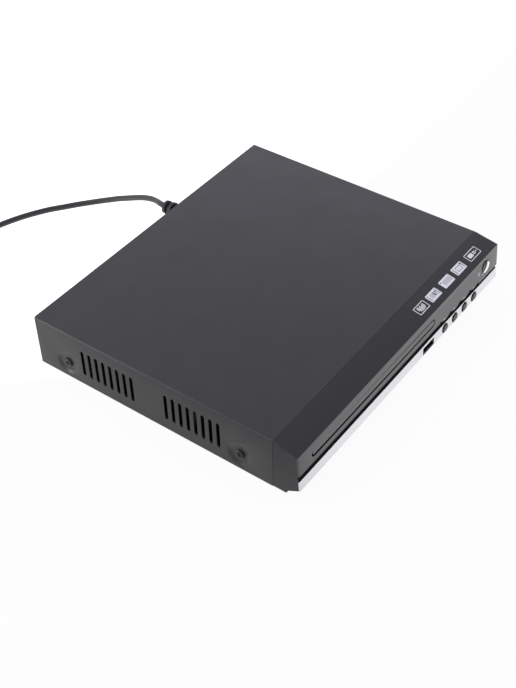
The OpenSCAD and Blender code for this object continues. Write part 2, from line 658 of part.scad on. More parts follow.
module phono_sleeves() color("#c9ccd0") in_case() for (x = phono_xs)
    translate([x, rear_in - 4, phono_z]) rotate([-90, 0, 0]) difference() {
        union() {
            cylinder(h = rear_out - rear_in + 4, r = phono_root);
            cylinder(h = rear_out - rear_in + 4 + sleeve_len, r = sleeve_r);
        }
        translate([0, 0, -1]) cylinder(h = sleeve_len + 10, r = sleeve_r - 0.45);
    }
module phono_inserts() color("#d8c23a") in_case() for (x = phono_xs)
    translate([x, rear_in - 4, phono_z]) rotate([-90, 0, 0]) difference() {
        cylinder(h = sleeve_len + 3.6, r = sleeve_r - 0.47);
        translate([0, 0, 2]) cylinder(h = sleeve_len + 5, r = 1.6);
    }

// Gear teeth: involute flanks, pressure angle 20 degrees
function roll(rb, r) = sqrt(max(0, pow(r / rb, 2) - 1)) * 180 / PI;
function inv_angle(rb, r) = roll(rb, r) - atan(roll(rb, r) * PI / 180);
function polar(r, a) = [r * cos(a), r * sin(a)];
function tooth_half(rp, r) = let (rb = rp * cos(20))
    (pitch / 4 - backlash) / rp * 180 / PI + inv_angle(rb, rp) - inv_angle(rb, max(rb, r));
backlash = 0.07;
flank_steps = 4;
module spur_gear(n, turn) {
    rp = n * gear_mod / 2;
    low = rp - dedendum;
    high = rp + addendum;
    radii = [for (i = [0:flank_steps]) low + (high - low) * i / flank_steps];
    polygon([for (t = [0:n - 1]) each concat(
        [for (i = [0:flank_steps]) polar(radii[i], turn + t * 360 / n - tooth_half(rp, radii[i]))],
        [for (i = [flank_steps:-1:0]) polar(radii[i], turn + t * 360 / n + tooth_half(rp, radii[i]))])]);
}
mesh_angle = atan2(pulley_dy, pulley_dx);
gear_arc = mesh_angle * PI / 180 * gear_r;
pinion_turn = mesh_angle + 180 - (pitch / 2 - gear_arc) * 180 / PI / pinion_r;
module tray_gear() color("#e6e2d6") in_case() translate([gear_pos[0], gear_pos[1], gear_low])
    linear_extrude(gear_high - gear_low) difference() {
        spur_gear(tray_gear_n, 0);
        circle(post_r + fit);
    }
module pulley_wheel(pos, groove, bore) {
    low = pulley_low;
    ring(pos, low, low + 1, groove + 1.5, bore);
    ring(pos, low + 1 - eps, low + 1 + groove_w + eps, groove, bore);
    ring(pos, low + 1 + groove_w, low + 2 + groove_w, groove + 1.5, bore);
}
module pulley_gear() color("#e6e2d6") in_case() {
    pulley_wheel(pulley_pos, pulley_r, post_r + fit);
    translate([pulley_pos[0], pulley_pos[1], pulley_low + 2 + groove_w - eps])
        linear_extrude(pinion_high - pulley_low - 2 - groove_w) difference() {
            spur_gear(pinion_n, pinion_turn);
            circle(post_r + fit);
        }
}
motor_top = pulley_low - 0.5;
module motor_pulley() color("#c9a24a") in_case() {
    pulley_wheel(motor_pos, motor_pulley_r, 0.9);
    post(motor_pos, motor_top - 3, pulley_low + 3 + groove_w, 1);
}
module loading_motor() color("#b4b6ba") in_case() difference() {
    union() {
        post(motor_pos, floor_z, motor_top - 1, motor_r);
        post(motor_pos, motor_top - 1 - eps, motor_top, 3);
    }
    post(motor_pos, motor_top - 3.4, motor_top + 1, 1 + fit);
}
module belt_outline(grow) hull() {
    translate(pulley_pos) circle(pulley_r + 0.05 + grow);
    translate(motor_pos) circle(motor_pulley_r + 0.05 + grow);
}
module drive_belt() color("#1a1a1c") in_case() translate([0, 0, belt_low])
    linear_extrude(belt_t) difference() {
        belt_outline(belt_t);
        belt_outline(0);
    }

// Loader
bridge_posts = [for (x = [-1, 1], y = [-10, 10]) [loader_mid + x * (wall_out + 2.2), disc_y + y]];
module loader_rail(side) {
    wall = side > 0 ? [wall_in, wall_out] : [-wall_out, -wall_in];
    block([loader_mid + wall[0], loader_front, floor_z], [loader_mid + wall[1], loader_back, wall_top]);
    ledge = side > 0 ? [tray_in - rail_w + 0.3, wall_in + eps]
        : [-wall_in - eps, -tray_in + rail_w - 0.3];
    block([loader_mid + ledge[0], loader_front, ledge_low],
        [loader_mid + ledge[1], loader_back, ledge_top]);
    tab = side > 0 ? [tray_in - 1.2, wall_in + eps] : [-wall_in - eps, -tray_in + 1.2];
    for (y = [6, disc_y + 60, tray_back - 12])
        block([loader_mid + tab[0], y, tray_top + gap], [loader_mid + tab[1], y + 8, wall_top]);
}
module loader_rails() color("#2c2c2f") in_case() difference() {
    union() {
        for (side = [-1, 1]) loader_rail(side);
        for (p = bridge_posts) post(p, floor_z, wall_top, 3);
    }
    for (p = bridge_posts) post(p, wall_top - 6, wall_top + 1, 1.2);
}
hinge_post_w = 3.6;
module loader_frame() color("#2c2c2f") in_case() difference() {
    union() {
        block([loader_mid - wall_out, loader_front, loader_low],
            [loader_mid + wall_out, loader_back, floor_z]);
        block([loader_mid - wall_in, loader_front, loader_low],
            [loader_mid + wall_in, loader_front + loader_wall, deck_z + 2]);
        block([loader_mid - wall_in, loader_back - loader_wall, loader_low],
            [loader_mid + wall_in, loader_back, ledge_low]);
        for (x = [-27, 8]) {
            block([loader_mid + x, loader_front + loader_wall - eps, deck_z + 0.4],
                [loader_mid + x + 6, cam_y + cam_t + 1.3, deck_z + 2]);
            block([loader_mid + x, cam_y + cam_t + 0.3, deck_z - 2.5],
                [loader_mid + x + 6, cam_y + cam_t + 1.3, deck_z + 2]);
        }
        for (p = loader_posts) post(p, loader_low, floor_z, 4.6);
        for (y = [loader_front + 6, loader_back - 8])
            block([loader_mid - wall_out - 4, y - 4.6, loader_low],
                [loader_mid + wall_out + 4, y + 4.6, floor_z]);
        for (side = [-1, 1]) block([loader_mid + side * (ring_w + 3) - hinge_post_w / 2,
            hinge_y - 4, floor_z - eps], [loader_mid + side * (ring_w + 3) + hinge_post_w / 2,
            hinge_y + 4, hinge_z + 4]);
        post(gear_pos, floor_z - eps, gear_low - gap, 3.2);
        post(gear_pos, floor_z - eps, gear_high - 0.4, post_r);
        post(pulley_pos, floor_z - eps, pulley_low - gap, 3.2);
        post(pulley_pos, floor_z - eps, pinion_high - 0.4, post_r);
    }
    for (p = loader_posts) post(p, 0, floor_z + 1, 1.3);
    for (side = [-1, 1]) translate([loader_mid + side * (ring_w + 3), hinge_y, hinge_z])
        rotate([0, 90, 0]) cylinder(h = 10, r = pin_r + fit, center = true);
    block([loader_mid - 30, 30, 0], [loader_mid + 30, 120, floor_z + 1]);
}
module clamp_bridge() color("#a6a8ac") in_case() difference() {
    union() {
        block([loader_mid - wall_out - 5.4, disc_y - bridge_half, wall_top],
            [loader_mid + wall_out + 5.4, disc_y + bridge_half, wall_top + bridge_t]);
        ring([loader_mid, disc_y], wall_top + bridge_t - eps, wall_top + bridge_t + 1, 19, 17.4);
        for (y = [-bridge_half, bridge_half - 0.8]) block([loader_mid - 55, disc_y + y, wall_top],
            [loader_mid + 55, disc_y + y + 0.8, wall_top + 2.2]);
    }
    post([loader_mid, disc_y], 0, 50, 12.5);
    for (p = bridge_posts) post(p, 0, 50, 1.2);
}
puck_low = rim_top + gap;
module clamp_puck() color("#e8e8e6") in_case() difference() {
    union() {
        post([loader_mid, disc_y], puck_low, wall_top + bridge_t + gap + eps, 12.1);
        post([loader_mid, disc_y], wall_top + bridge_t + gap, wall_top + bridge_t + gap + puck_rim_t, 15);
    }
    post([loader_mid, disc_y], puck_low - 1, rim_top + 2.8, 8.2);
}
module tray_rack() {
    offset_y = gear_pos[1] - 3.5 * pitch;
    count = floor((tray_back - 1 - offset_y) / pitch) + 1;
    tip = pitch / 4 - backlash - addendum * tan(20);
    root = pitch / 4 - backlash + dedendum * tan(20);
    for (i = [0:count - 1]) translate([0, offset_y + i * pitch])
        polygon([[rack_x + dedendum + 0.4, -root], [rack_x + dedendum, -root],
            [rack_x - addendum, -tip], [rack_x - addendum, tip], [rack_x + dedendum, root],
            [rack_x + dedendum + 0.4, root]]);
}
module disc_tray() color("#2a2a2d") in_case() translate([loader_mid, 0, 0]) difference() {
    union() {
        difference() {
            block([-tray_in, tray_front, floor_low], [tray_in, tray_back, tray_top]);
            post([0, disc_y], floor_top, tray_top + 1, disc_r);
            block([-tray_in + 4, disc_y + 64, floor_low - 1],
                [tray_in - 4, tray_back - 3, tray_top - 1.2]);
        }
        for (side = [-1, 1]) block([side > 0 ? rack_x + dedendum : -tray_in, tray_front, tray_low],
            [side > 0 ? tray_in : -rack_x - dedendum, tray_back, floor_low + eps]);
        block([-tray_in, tray_front, tray_low], [tray_in, tray_front + 2, tray_top]);
        translate([0, 0, tray_low]) linear_extrude(tray_floor_up + eps) tray_rack();
    }
    post([0, disc_y], floor_top - 0.4, tray_top, small_disc_r);
    post([0, disc_y], 0, 50, pickup_slot_r);
    block([-pickup_slot_r, disc_y, 0], [pickup_slot_r, tray_back + 1, 50]);
    for (side = [-1, 1]) post([side * disc_r, disc_y - 34], floor_top - 0.4, tray_top + 1, 11);
}
module tray_door() color("#17171a") in_case() intersection() {
    along_y(-25, 0) door_slot(door_gap);
    along_x(-body_w, body_w) polygon([[face_y(door_z - 4) + 0.1, door_z - 4],
        [face_y(door_z + 4) + 0.1, door_z + 4], [tray_front, door_z + 4], [tray_front, door_z - 4]]);
}
module cam_slider() color("#e6e2d6") in_case() along_y(cam_y, cam_y + cam_t) difference() {
    translate([cam_pin_x - cam_travel - 18, floor_z + gap])
        square([cam_travel + 44, deck_z - floor_z - gap]);
    slope = atan2(pin_drop, cam_travel);
    run = norm([pin_drop, cam_travel]);
    translate([cam_pin_x, hinge_z]) rotate(slope) {
        translate([-run, -pin_r - gap]) square([run, 2 * (pin_r + gap)]);
        for (x = [-run, 0]) translate([x, 0]) circle(pin_r + gap);
    }
}
module tilt_frame() color("#e6e2d6") in_case() {
    difference() {
        block([loader_mid - ring_w, ring_front, ring_low], [loader_mid + ring_w, ring_back, ring_high]);
        block([loader_mid - ring_w + 9.5, ring_front + 8, 0],
            [loader_mid + ring_w - 9.5, ring_back - 9, 50]);
    }
    for (side = [-1, 1]) translate([loader_mid + side * ring_w, hinge_y, hinge_z])
        rotate([0, side * 90, 0]) translate([0, 0, -eps]) cylinder(h = 4.8, r = pin_r);
    translate([cam_pin_x, ring_front + eps, hinge_z]) rotate([90, 0, 0])
        cylinder(h = ring_front - cam_y - 0.2, r = pin_r);
}
damper_ys = [plate_front + 7, hinge_y - 15];
module deck_dampers() color("#202024") in_case() for (x = [-36, 36], y = damper_ys)
    post([loader_mid + x, y], ring_high, deck_z, 2.8);
module deck_plate() color("#a6a8ac") in_case() difference() {
    union() {
        difference() {
            block([loader_mid - plate_w, plate_front, deck_z], [loader_mid + plate_w, plate_back, deck_top]);
            block([loader_mid - window_w, window_front, 0], [loader_mid + screw_x + 2.5, window_back, 50]);
            block([loader_mid + screw_x - 5, window_front - 24, 0],
                [loader_mid + screw_x + 5, window_front + 1, 50]);
        }
        for (x = [-rod_x, rod_x], y = [window_front - 4, window_back])
            block([loader_mid + x - 3, y, deck_top - eps], [loader_mid + x + 3, y + 4, rod_z + 2.6]);
        block([loader_mid + screw_x - 2.4, window_back, deck_top - eps],
            [loader_mid + screw_x + 2.4, window_back + 3, rod_z + 2.2]);
    }
    post([loader_mid, disc_y], 0, 50, 4.4);
    for (x = [-rod_x, rod_x]) translate([loader_mid + x, window_front - 3, rod_z]) rotate([-90, 0, 0])
        cylinder(h = window_back - window_front + 6, r = rod_r + 0.02);
    translate([loader_mid + screw_x, window_back - 1, rod_z]) rotate([-90, 0, 0])
        cylinder(h = 3, r = 1.2 + fit);
}
module spindle_motor() color("#8c8f94") in_case() difference() {
    union() {
        post([loader_mid, disc_y], deck_z - 5, deck_z, 12.5);
        post([loader_mid, disc_y], deck_z - eps, deck_top + 0.6, 4.2);
    }
    post([loader_mid, disc_y], deck_z - 4, deck_top + 2, 1 + fit);
}
module turntable() color("#2c2c30") in_case() {
    post([loader_mid, disc_y], deck_z - 3.6, rim_top - 1, 1);
    post([loader_mid, disc_y], deck_top + 0.9, rim_top - 2.4 + eps, 5);
    post([loader_mid, disc_y], rim_top - 2.4, rim_top, turntable_r);
    post([loader_mid, disc_y], rim_top - eps, rim_top + 1.4, 7.4);
    translate([loader_mid, disc_y, rim_top + 1.4 - eps]) cylinder(h = 0.9, r1 = 7.4, r2 = 5.8);
}
module guide_rods() color("#d0d3d8") in_case() for (x = [-rod_x, rod_x])
    translate([loader_mid + x, window_front - 3, rod_z]) rotate([-90, 0, 0])
        cylinder(h = window_back - window_front + 6, r = rod_r);
sled_motor_r = 3.3;
module sled_motor() color("#b4b6ba") in_case() difference() {
    union() {
        translate([loader_mid + screw_x, window_front - 20, rod_z]) rotate([-90, 0, 0])
            cylinder(h = 18, r = sled_motor_r);
        block([loader_mid + screw_x - 6.4, window_front - 19, deck_top],
            [loader_mid + screw_x + 6.4, window_front - 17, deck_top + 1.4]);
    }
    translate([loader_mid + screw_x, window_front - 6, rod_z]) rotate([-90, 0, 0])
        cylinder(h = 6, r = 1.2 + fit);
}
module lead_screw() color("#d0d3d8") in_case() translate([loader_mid + screw_x, 0, rod_z])
    rotate([-90, 0, 0]) {
        translate([0, 0, window_front - 5.6]) cylinder(h = window_back - window_front + 7.4, r = 1.2);
        for (y = [window_front + 2:3:window_back - 3]) translate([0, 0, y]) cylinder(h = 1.4, r = 1.5);
    }
module pickup_sled() color("#b0b2b6") in_case() difference() {
    union() {
        block([loader_mid - window_w + 0.5, sled_y, deck_z - 1],
            [loader_mid + window_w - 0.5, sled_y + sled_len, rod_z + 3]);
        block([loader_mid - 12, sled_y + 2, rod_z + 3 - eps], [loader_mid + 12, sled_y + 17, rod_z + 4.4]);
        block([loader_mid + window_w - 1, sled_y + 6, rod_z - 1.6],
            [loader_mid + screw_x - 1.5 - gap, sled_y + 16, rod_z + 1.6]);
    }
    for (x = [-rod_x, rod_x]) translate([loader_mid + x, sled_y - 1, rod_z]) rotate([-90, 0, 0])
        cylinder(h = sled_len + 2, r = rod_r + fit);
    post([loader_mid, lens_y], rod_z + 2, 50, 4);
}
module objective_lens() color("#7fa6d8") in_case() {
    post([loader_mid, lens_y], rod_z + 2, rod_z + 4.6, 3.4);
    translate([loader_mid, lens_y, rod_z + 4.6 - 2.8]) intersection() {
        sphere(r = 4.4);
        translate([0, 0, 2.7]) cylinder(h = 4, r = 2.6);
    }
}
module pickup_ribbon() color("#d8d8da") in_case() {
    block([loader_mid - 8, 108, ring_low - 5], [loader_mid + 4, 112, ring_low - 4.7]);
    block([loader_mid - 8, 111.7, floor_z + 0.1], [loader_mid + 4, 112, ring_low - 4.7]);
    block([loader_mid - 8, 111.7, floor_z + 0.1], [loader_mid + 4, 124, floor_z + 0.4]);
    block([loader_mid - 8, 123.7, floor_z + 0.1], [loader_mid + 30, 128, floor_z + 0.4]);
}
module loader_screws() color("#b9bcc0") in_case() {
    for (p = loader_posts) pan_head(p, floor_z, 2.6);
    for (p = bridge_posts) pan_head(p, wall_top + bridge_t, 2.4);
}

// Mains cord
function unit(v) = v / norm(v);
function ring_dir(pts, i) = unit(pts[min(i + 1, len(pts) - 1)] - pts[max(i - 1, 0)]);
function ring_points(p, d, r) = let (side = unit(cross([0, 0, 1], d)), up = cross(d, side))
    [for (k = [0:cord_steps - 1]) let (a = k * 360 / cord_steps) p + r * (cos(a) * side + sin(a) * up)];
module cord_tube(pts, r) {
    n = len(pts);
    s = cord_steps;
    polyhedron([for (i = [0:n - 1]) each ring_points(pts[i], ring_dir(pts, i), r)],
        concat([[for (k = [s - 1:-1:0]) k]], [[for (k = [0:s - 1]) (n - 1) * s + k]],
            [for (i = [0:n - 2], k = [0:s - 1]) each let (a = i * s + k, b = i * s + (k + 1) % s)
                [[a, b, b + s], [a, b + s, a + s]]]));
}
relief_end = rear_out + relief_len;
module cord_relief() color("#232326") in_case() translate([exit_mid, 0, exit_z]) rotate([-90, 0, 0]) {
    translate([0, 0, rear_in - 8.5]) cylinder(h = 8.6, r = 4.2);
    translate([0, 0, rear_in - 1.6]) cylinder(h = 1.4, r = 6.4);
    translate([0, 0, rear_in]) cylinder(h = rear_out - rear_in, r = 4.5);
    translate([0, 0, rear_out]) cylinder(h = 3, r = 6);
    translate([0, 0, rear_out + 3 - eps])
        cylinder(h = relief_end - rear_out - 3 + eps, r1 = 4.2, r2 = cord_r + 0.9);
    for (i = [0:2]) translate([0, 0, relief_end - 2.4 - i * 5])
        cylinder(h = 2.4, r1 = 4.9 + i * 0.4, r2 = 4.7 + i * 0.4);
}
module mains_cord() color("#2a2a2c") in_case() cord_tube([for (p = cord_stops) cord_place(p)], cord_r);
module plug_tail() color("#2a2a2c") in_case() cord_tube(tail_points, cord_r);
module cord_coil() color("#2a2a2c") in_case() translate([coil_pos[0], coil_pos[1], -foot_h])
    difference() {
        cylinder(h = coil_h, r = coil_out);
        translate([0, 0, -1]) cylinder(h = coil_h + 2, r = coil_in);
    }
module cord_tie() color("#e8e8e6") in_case() translate([coil_pos[0], coil_pos[1], -foot_h])
    difference() {
        block([-3, -coil_out - 1.2, 0], [3, -coil_in + 1.2, coil_h + 1.2]);
        difference() {
            translate([0, 0, -1]) cylinder(h = coil_h + 1.02, r = coil_out + 0.02);
            translate([0, 0, -2]) cylinder(h = coil_h + 4, r = coil_in - 0.02);
        }
    }
module mains_plug() color("#232326") in_case() translate([plug_pos[0], plug_pos[1], plug_pos[2]]) {
    rotate([0, -90, 0]) cylinder(h = 13, r1 = cord_r + 0.6, r2 = 5);
    translate([-12, 0, 0]) rotate([90, 0, -90]) linear_extrude(8 + eps)
        square([18, plug_t - 1], center = true);
    translate([-20, 0, 0]) rotate([90, 0, -90]) linear_extrude(16) round_bar(35, plug_t);
}
module plug_pins() color("#c9ccd0") in_case() for (side = [-1, 1])
    translate([plug_pos[0] - 36, plug_pos[1] + side * 9.25, plug_pos[2]]) rotate([0, -90, 0]) {
        cylinder(h = 18, r = 2);
        translate([0, 0, 18 - eps]) cylinder(h = 1, r1 = 2, r2 = 1.2);
    }

top_cover();
chassis_pan();
pan_rails();
standoffs();
rear_panel();
rubber_feet();
cover_screws();
front_bezel();
gloss_fascia();
silver_trim();
button_1();
button_2();
button_3();
button_4();
power_button();
front_board();
tact_switches();
usb_socket();
standby_board();
standby_parts();
main_board();
main_chips();
main_capacitors();
power_board();
power_transformer();
power_parts();
board_screws();
front_ribbon();
mains_wires();
phono_block();
phono_sleeves();
phono_inserts();
loader_frame();
loader_rails();
clamp_bridge();
clamp_puck();
disc_tray();
tray_door();
tray_gear();
pulley_gear();
motor_pulley();
drive_belt();
loading_motor();
cam_slider();
tilt_frame();
deck_plate();
deck_dampers();
spindle_motor();
turntable();
guide_rods();
sled_motor();
lead_screw();
pickup_sled();
objective_lens();
pickup_ribbon();
loader_screws();
cord_relief();
mains_cord();
cord_coil();
cord_tie();
plug_tail();
mains_plug();
plug_pins();
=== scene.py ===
# %% [markdown]
# # A small disc player, dressed for its pictures
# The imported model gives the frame: every board, gear and wall sits where it has to work.
# This lesson remodels the pieces that can be seen, with Blender's own modelling operators, and
# gives every other piece a finish. Each cell names one piece of the player, says how it could be
# made, and why it is made this way.

# %% Load the frame
import json
import math
import bpy
from mathutils import Matrix, Vector


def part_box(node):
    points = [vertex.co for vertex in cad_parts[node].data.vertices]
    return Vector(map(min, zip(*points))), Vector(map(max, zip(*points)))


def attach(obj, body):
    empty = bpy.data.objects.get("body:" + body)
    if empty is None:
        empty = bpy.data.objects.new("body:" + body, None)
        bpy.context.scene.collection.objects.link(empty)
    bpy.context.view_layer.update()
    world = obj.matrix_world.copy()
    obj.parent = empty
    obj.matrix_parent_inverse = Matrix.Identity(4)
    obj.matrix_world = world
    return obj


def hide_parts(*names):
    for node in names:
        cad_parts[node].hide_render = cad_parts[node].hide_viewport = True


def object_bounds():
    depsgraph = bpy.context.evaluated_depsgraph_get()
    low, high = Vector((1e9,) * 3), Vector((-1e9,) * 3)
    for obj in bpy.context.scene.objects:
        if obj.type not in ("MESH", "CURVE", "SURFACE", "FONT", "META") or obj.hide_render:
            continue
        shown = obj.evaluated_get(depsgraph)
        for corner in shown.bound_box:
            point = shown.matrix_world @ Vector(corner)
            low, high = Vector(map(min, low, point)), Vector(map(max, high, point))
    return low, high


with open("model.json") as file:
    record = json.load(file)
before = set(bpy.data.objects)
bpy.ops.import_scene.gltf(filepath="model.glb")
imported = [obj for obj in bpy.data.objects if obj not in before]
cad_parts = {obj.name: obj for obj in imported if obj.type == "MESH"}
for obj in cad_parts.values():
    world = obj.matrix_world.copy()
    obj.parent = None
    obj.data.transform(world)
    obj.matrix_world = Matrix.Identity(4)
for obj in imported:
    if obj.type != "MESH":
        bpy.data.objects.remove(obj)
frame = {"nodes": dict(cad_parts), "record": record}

cad_box = [list(corner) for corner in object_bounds()]
MM = 0.001
cover_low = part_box("top_cover")[0]
SEAM = cover_low.y
UNDERSIDE = cover_low.z


def placed(x, y, z):
    """A point in the maker's frame, in millimetres from the seam and the underside, in metres."""
    return Vector((x * MM, y * MM + SEAM, z * MM + UNDERSIDE))


def packed_box(node):
    """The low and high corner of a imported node, in the maker's frame."""
    return [(corner - Vector((0, SEAM, UNDERSIDE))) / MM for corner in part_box(node)]


# %% [markdown]
# ## Camera
# A camera could be placed by eye, but a player is full of straight, parallel edges, so its place
# follows from how much they lean towards each other. The view is held by three plain numbers: how
# far round it stands, how high it looks down from, and how much it is tipped.

# %% Camera
VIEW_ROUND, VIEW_DOWN, VIEW_TIP = map(math.radians, (-52.754, 42.936, -1.621))
LENS_MM, SENSOR_MM = 63.80, 36
eye = placed(-470.41, -263.63, 522.81)
back = Vector((math.sin(VIEW_ROUND) * math.cos(VIEW_DOWN),
               -math.cos(VIEW_ROUND) * math.cos(VIEW_DOWN), math.sin(VIEW_DOWN)))
level_right = (-back).cross(Vector((0, 0, 1))).normalized()
level_up = level_right.cross(-back)
right = level_right * math.cos(VIEW_TIP) + level_up * math.sin(VIEW_TIP)
up = level_up * math.cos(VIEW_TIP) - level_right * math.sin(VIEW_TIP)
lens = bpy.data.cameras.new("camera")
lens.sensor_width, lens.lens = SENSOR_MM, LENS_MM
lens.clip_start, lens.clip_end = 0.01, 50
camera = bpy.data.objects.new("camera", lens)
camera.matrix_world = Matrix.Translation(eye) @ Matrix((right, up, back)).transposed().to_4x4()
bpy.context.scene.collection.objects.link(camera)
bpy.context.scene.camera = camera
print("camera stands", [round(v, 3) for v in eye])

# %% [markdown]
# ## Shaping helpers
# Every new piece starts as a primitive, or as an outline that is pulled out edge by edge, in
# millimetres. It is cut, bevelled and smoothed, and at the very end it is set down: shrunk to
# metres and moved to the seam in one step, so its object ends at the origin and the piece stays
# easy to read while it is shaped. An operator acts on all that is selected, so each helper first
# drops everything and then picks what it needs by its place or its direction.


# %% Selection helpers
WELD, CLOSE = 0.0005, 1e-3


def drop_all():
    """Nothing stays selected."""
    if bpy.context.mode != "OBJECT":
        bpy.ops.object.mode_set(mode="OBJECT")
    bpy.ops.object.select_all(action="DESELECT")


def hold(obj):
    """Only obj is selected, and it is the active object."""
    drop_all()
    obj.select_set(True)
    bpy.context.view_layer.objects.active = obj


def pick(obj, kind, test):
    """Opens obj in edit mode with the vertices, edges or faces selected that pass the test."""
    hold(obj)
    mesh = obj.data
    bpy.ops.object.mode_set(mode="EDIT")
    bpy.ops.mesh.select_mode(type=kind)
    bpy.ops.mesh.select_all(action="DESELECT")
    bpy.ops.object.mode_set(mode="OBJECT")
    if kind == "VERT":
        for v in mesh.vertices:
            v.select = test(v.co)
    elif kind == "EDGE":
        for e in mesh.edges:
            e.select = test(*[mesh.vertices[i].co for i in e.vertices])
    else:
        for p in mesh.polygons:
            p.select = test(p.center, p.normal)
    bpy.ops.object.mode_set(mode="EDIT")


def closed(obj):
    """Merges what lies together and turns every face outwards."""
    pick(obj, "VERT", lambda co: True)
    bpy.ops.mesh.remove_doubles(threshold=WELD)
    bpy.ops.mesh.normals_make_consistent(inside=False)
    bpy.ops.object.mode_set(mode="OBJECT")
    return obj


def settle(obj):
    """Writes an object's place, turn and scale into its mesh."""
    hold(obj)
    bpy.ops.object.transform_apply(location=True, rotation=True, scale=True)
    return obj


def moved(obj, place, turn=(0, 0, 0)):
    """Turns a piece about the origin and moves it to its place."""
    obj.rotation_euler = turn
    obj.location = place
    return settle(obj)


def mirrored(obj):
    """The same piece on the other side of the middle."""
    obj.scale = (-1, 1, 1)
    return closed(settle(obj))


def on_side(obj, side):
    """A piece shaped for the right side, mirrored if it is wanted on the left."""
    return obj if side > 0 else mirrored(obj)


X, Y, Z = 0, 1, 2


def along(axis, least):
    """A test for the edges that run along an axis by more than the least length."""
    return lambda a, b: abs(a[axis] - b[axis]) > least


def round_edges(obj, test, radius, steps):
    """Rounds only the edges that pass the test."""
    pick(obj, "EDGE", test)
    bpy.ops.mesh.bevel(offset=radius, segments=steps, affect="EDGES")
    bpy.ops.object.mode_set(mode="OBJECT")


print("selection helpers ready")

# %% [markdown]
# A block, a round bar and two ways to pull a shape out of an outline are enough for most of the
# player. The outline of a moulding is pulled along the width, edge by edge, as a hand would
# extrude it. A knob or a boss is a short row of points that is spun round an axis.


# %% Blanks
def block(name, low, high):
    """A cube at its size and place."""
    drop_all()
    middle = [(a + b) / 2 for a, b in zip(low, high)]
    bpy.ops.mesh.primitive_cube_add(size=1, location=middle)
    obj = bpy.context.object
    obj.name = name
    obj.scale = [b - a for a, b in zip(low, high)]
    return settle(obj)


QUARTER = math.pi / 2
BAR_TURNS = {"X": (0, QUARTER, 0), "Y": (QUARTER, 0, 0), "Z": (0, 0, 0)}
SPIN_TURNS = {"X": (0, QUARTER, 0), "Y": (-QUARTER, 0, 0), "Z": (0, 0, 0)}


def bar(name, middle, radius, length, axis="Z", sides=48):
    """A round bar about its middle."""
    drop_all()
    bpy.ops.mesh.primitive_cylinder_add(radius=radius, depth=length, vertices=sides,
                                        location=middle, rotation=BAR_TURNS[axis])
    obj = bpy.context.object
    obj.name = name
    return settle(obj)


FULL_ROUND, PLANE_HALF = 0.9999, 0.5


def slot_blank(name, x, z, width, height, y0, y1, steps=10):
    """A block along Y whose ends are half rounds."""
    obj = block(name, (x - width / 2, y0, z - height / 2), (x + width / 2, y1, z + height / 2))
    round_edges(obj, along(Y, (y1 - y0) / 2), min(width, height) / 2 * FULL_ROUND, steps)
    return closed(obj)


def pulled(name, outline, x0, x1):
    """A moulding: an outline of (y, z) points, pulled edge by edge and then closed at its ends."""
    drop_all()
    bpy.ops.mesh.primitive_plane_add(size=1)
    obj = bpy.context.object
    obj.name = name
    pick(obj, "VERT", lambda co: co.y > 0)
    bpy.ops.mesh.delete(type="VERT")
    bpy.ops.mesh.select_all(action="SELECT")
    bpy.ops.object.mode_set(mode="OBJECT")
    obj.scale = (x1 - x0, 1, 1)
    obj.location = ((x0 + x1) / 2, outline[0][0] + PLANE_HALF, outline[0][1])
    settle(obj)
    bpy.ops.object.mode_set(mode="EDIT")
    for (y0, z0), (y1, z1) in zip(outline, outline[1:] + outline[:1]):
        bpy.ops.mesh.extrude_region_move(
            TRANSFORM_OT_translate={"value": (0, y1 - y0, z1 - z0)})
    bpy.ops.object.mode_set(mode="OBJECT")
    closed(obj)
    for x in (x0, x1):
        pick(obj, "EDGE", lambda a, b: abs(a.x - x) < CLOSE and abs(b.x - x) < CLOSE)
        bpy.ops.mesh.edge_face_add()
        bpy.ops.object.mode_set(mode="OBJECT")
    return closed(obj)


def spun(name, profile, centre, axis="Z", steps=48):
    """A turned piece: (radius, height) points spun once round the axis through centre."""
    drop_all()
    bpy.ops.mesh.primitive_plane_add(size=1)
    obj = bpy.context.object
    obj.name = name
    pick(obj, "VERT", lambda co: co.x > 0 or co.y > 0)
    bpy.ops.mesh.delete(type="VERT")
    bpy.ops.mesh.select_all(action="SELECT")
    bpy.ops.object.mode_set(mode="OBJECT")
    obj.location = (profile[0][0] + PLANE_HALF, PLANE_HALF, profile[0][1])
    settle(obj)
    bpy.ops.object.mode_set(mode="EDIT")
    for (r0, h0), (r1, h1) in zip(profile, profile[1:]):
        bpy.ops.mesh.extrude_region_move(
            TRANSFORM_OT_translate={"value": (r1 - r0, 0, h1 - h0)})
    bpy.ops.mesh.select_all(action="SELECT")
    bpy.ops.mesh.spin(steps=steps, angle=2 * math.pi, center=(0, 0, 0), axis=(0, 0, 1))
    bpy.ops.object.mode_set(mode="OBJECT")
    return closed(moved(obj, centre, SPIN_TURNS[axis]))


print("blanks ready")

# %% [markdown]
# ## Cutting and softening
# Openings are cut with a tool body and a Boolean, which keeps the walls straight, and no moulded
# or folded edge is left razor sharp: a narrow Bevel by angle catches the light there. Hardened
# normals keep the large flat faces flat.


# %% Cutting and softening
def applied(obj, kind, **settings):
    """Adds a modifier, sets it and applies it."""
    hold(obj)
    mod = obj.modifiers.new(kind.lower(), kind)
    for key, value in settings.items():
        setattr(mod, key, value)
    bpy.ops.object.modifier_apply(modifier=mod.name)
    return obj


def combine(obj, tool, way):
    """Cuts, adds or keeps what the tool covers, and throws the tool away."""
    applied(obj, "BOOLEAN", object=tool, operation=way, solver="EXACT")
    bpy.data.objects.remove(tool)


def cut(obj, *tools):
    """Takes the tools out of obj."""
    for tool in tools:
        combine(obj, tool, "DIFFERENCE")
    return obj


def add(obj, *tools):
    """Fuses the tools to obj."""
    for tool in tools:
        combine(obj, tool, "UNION")
    return obj


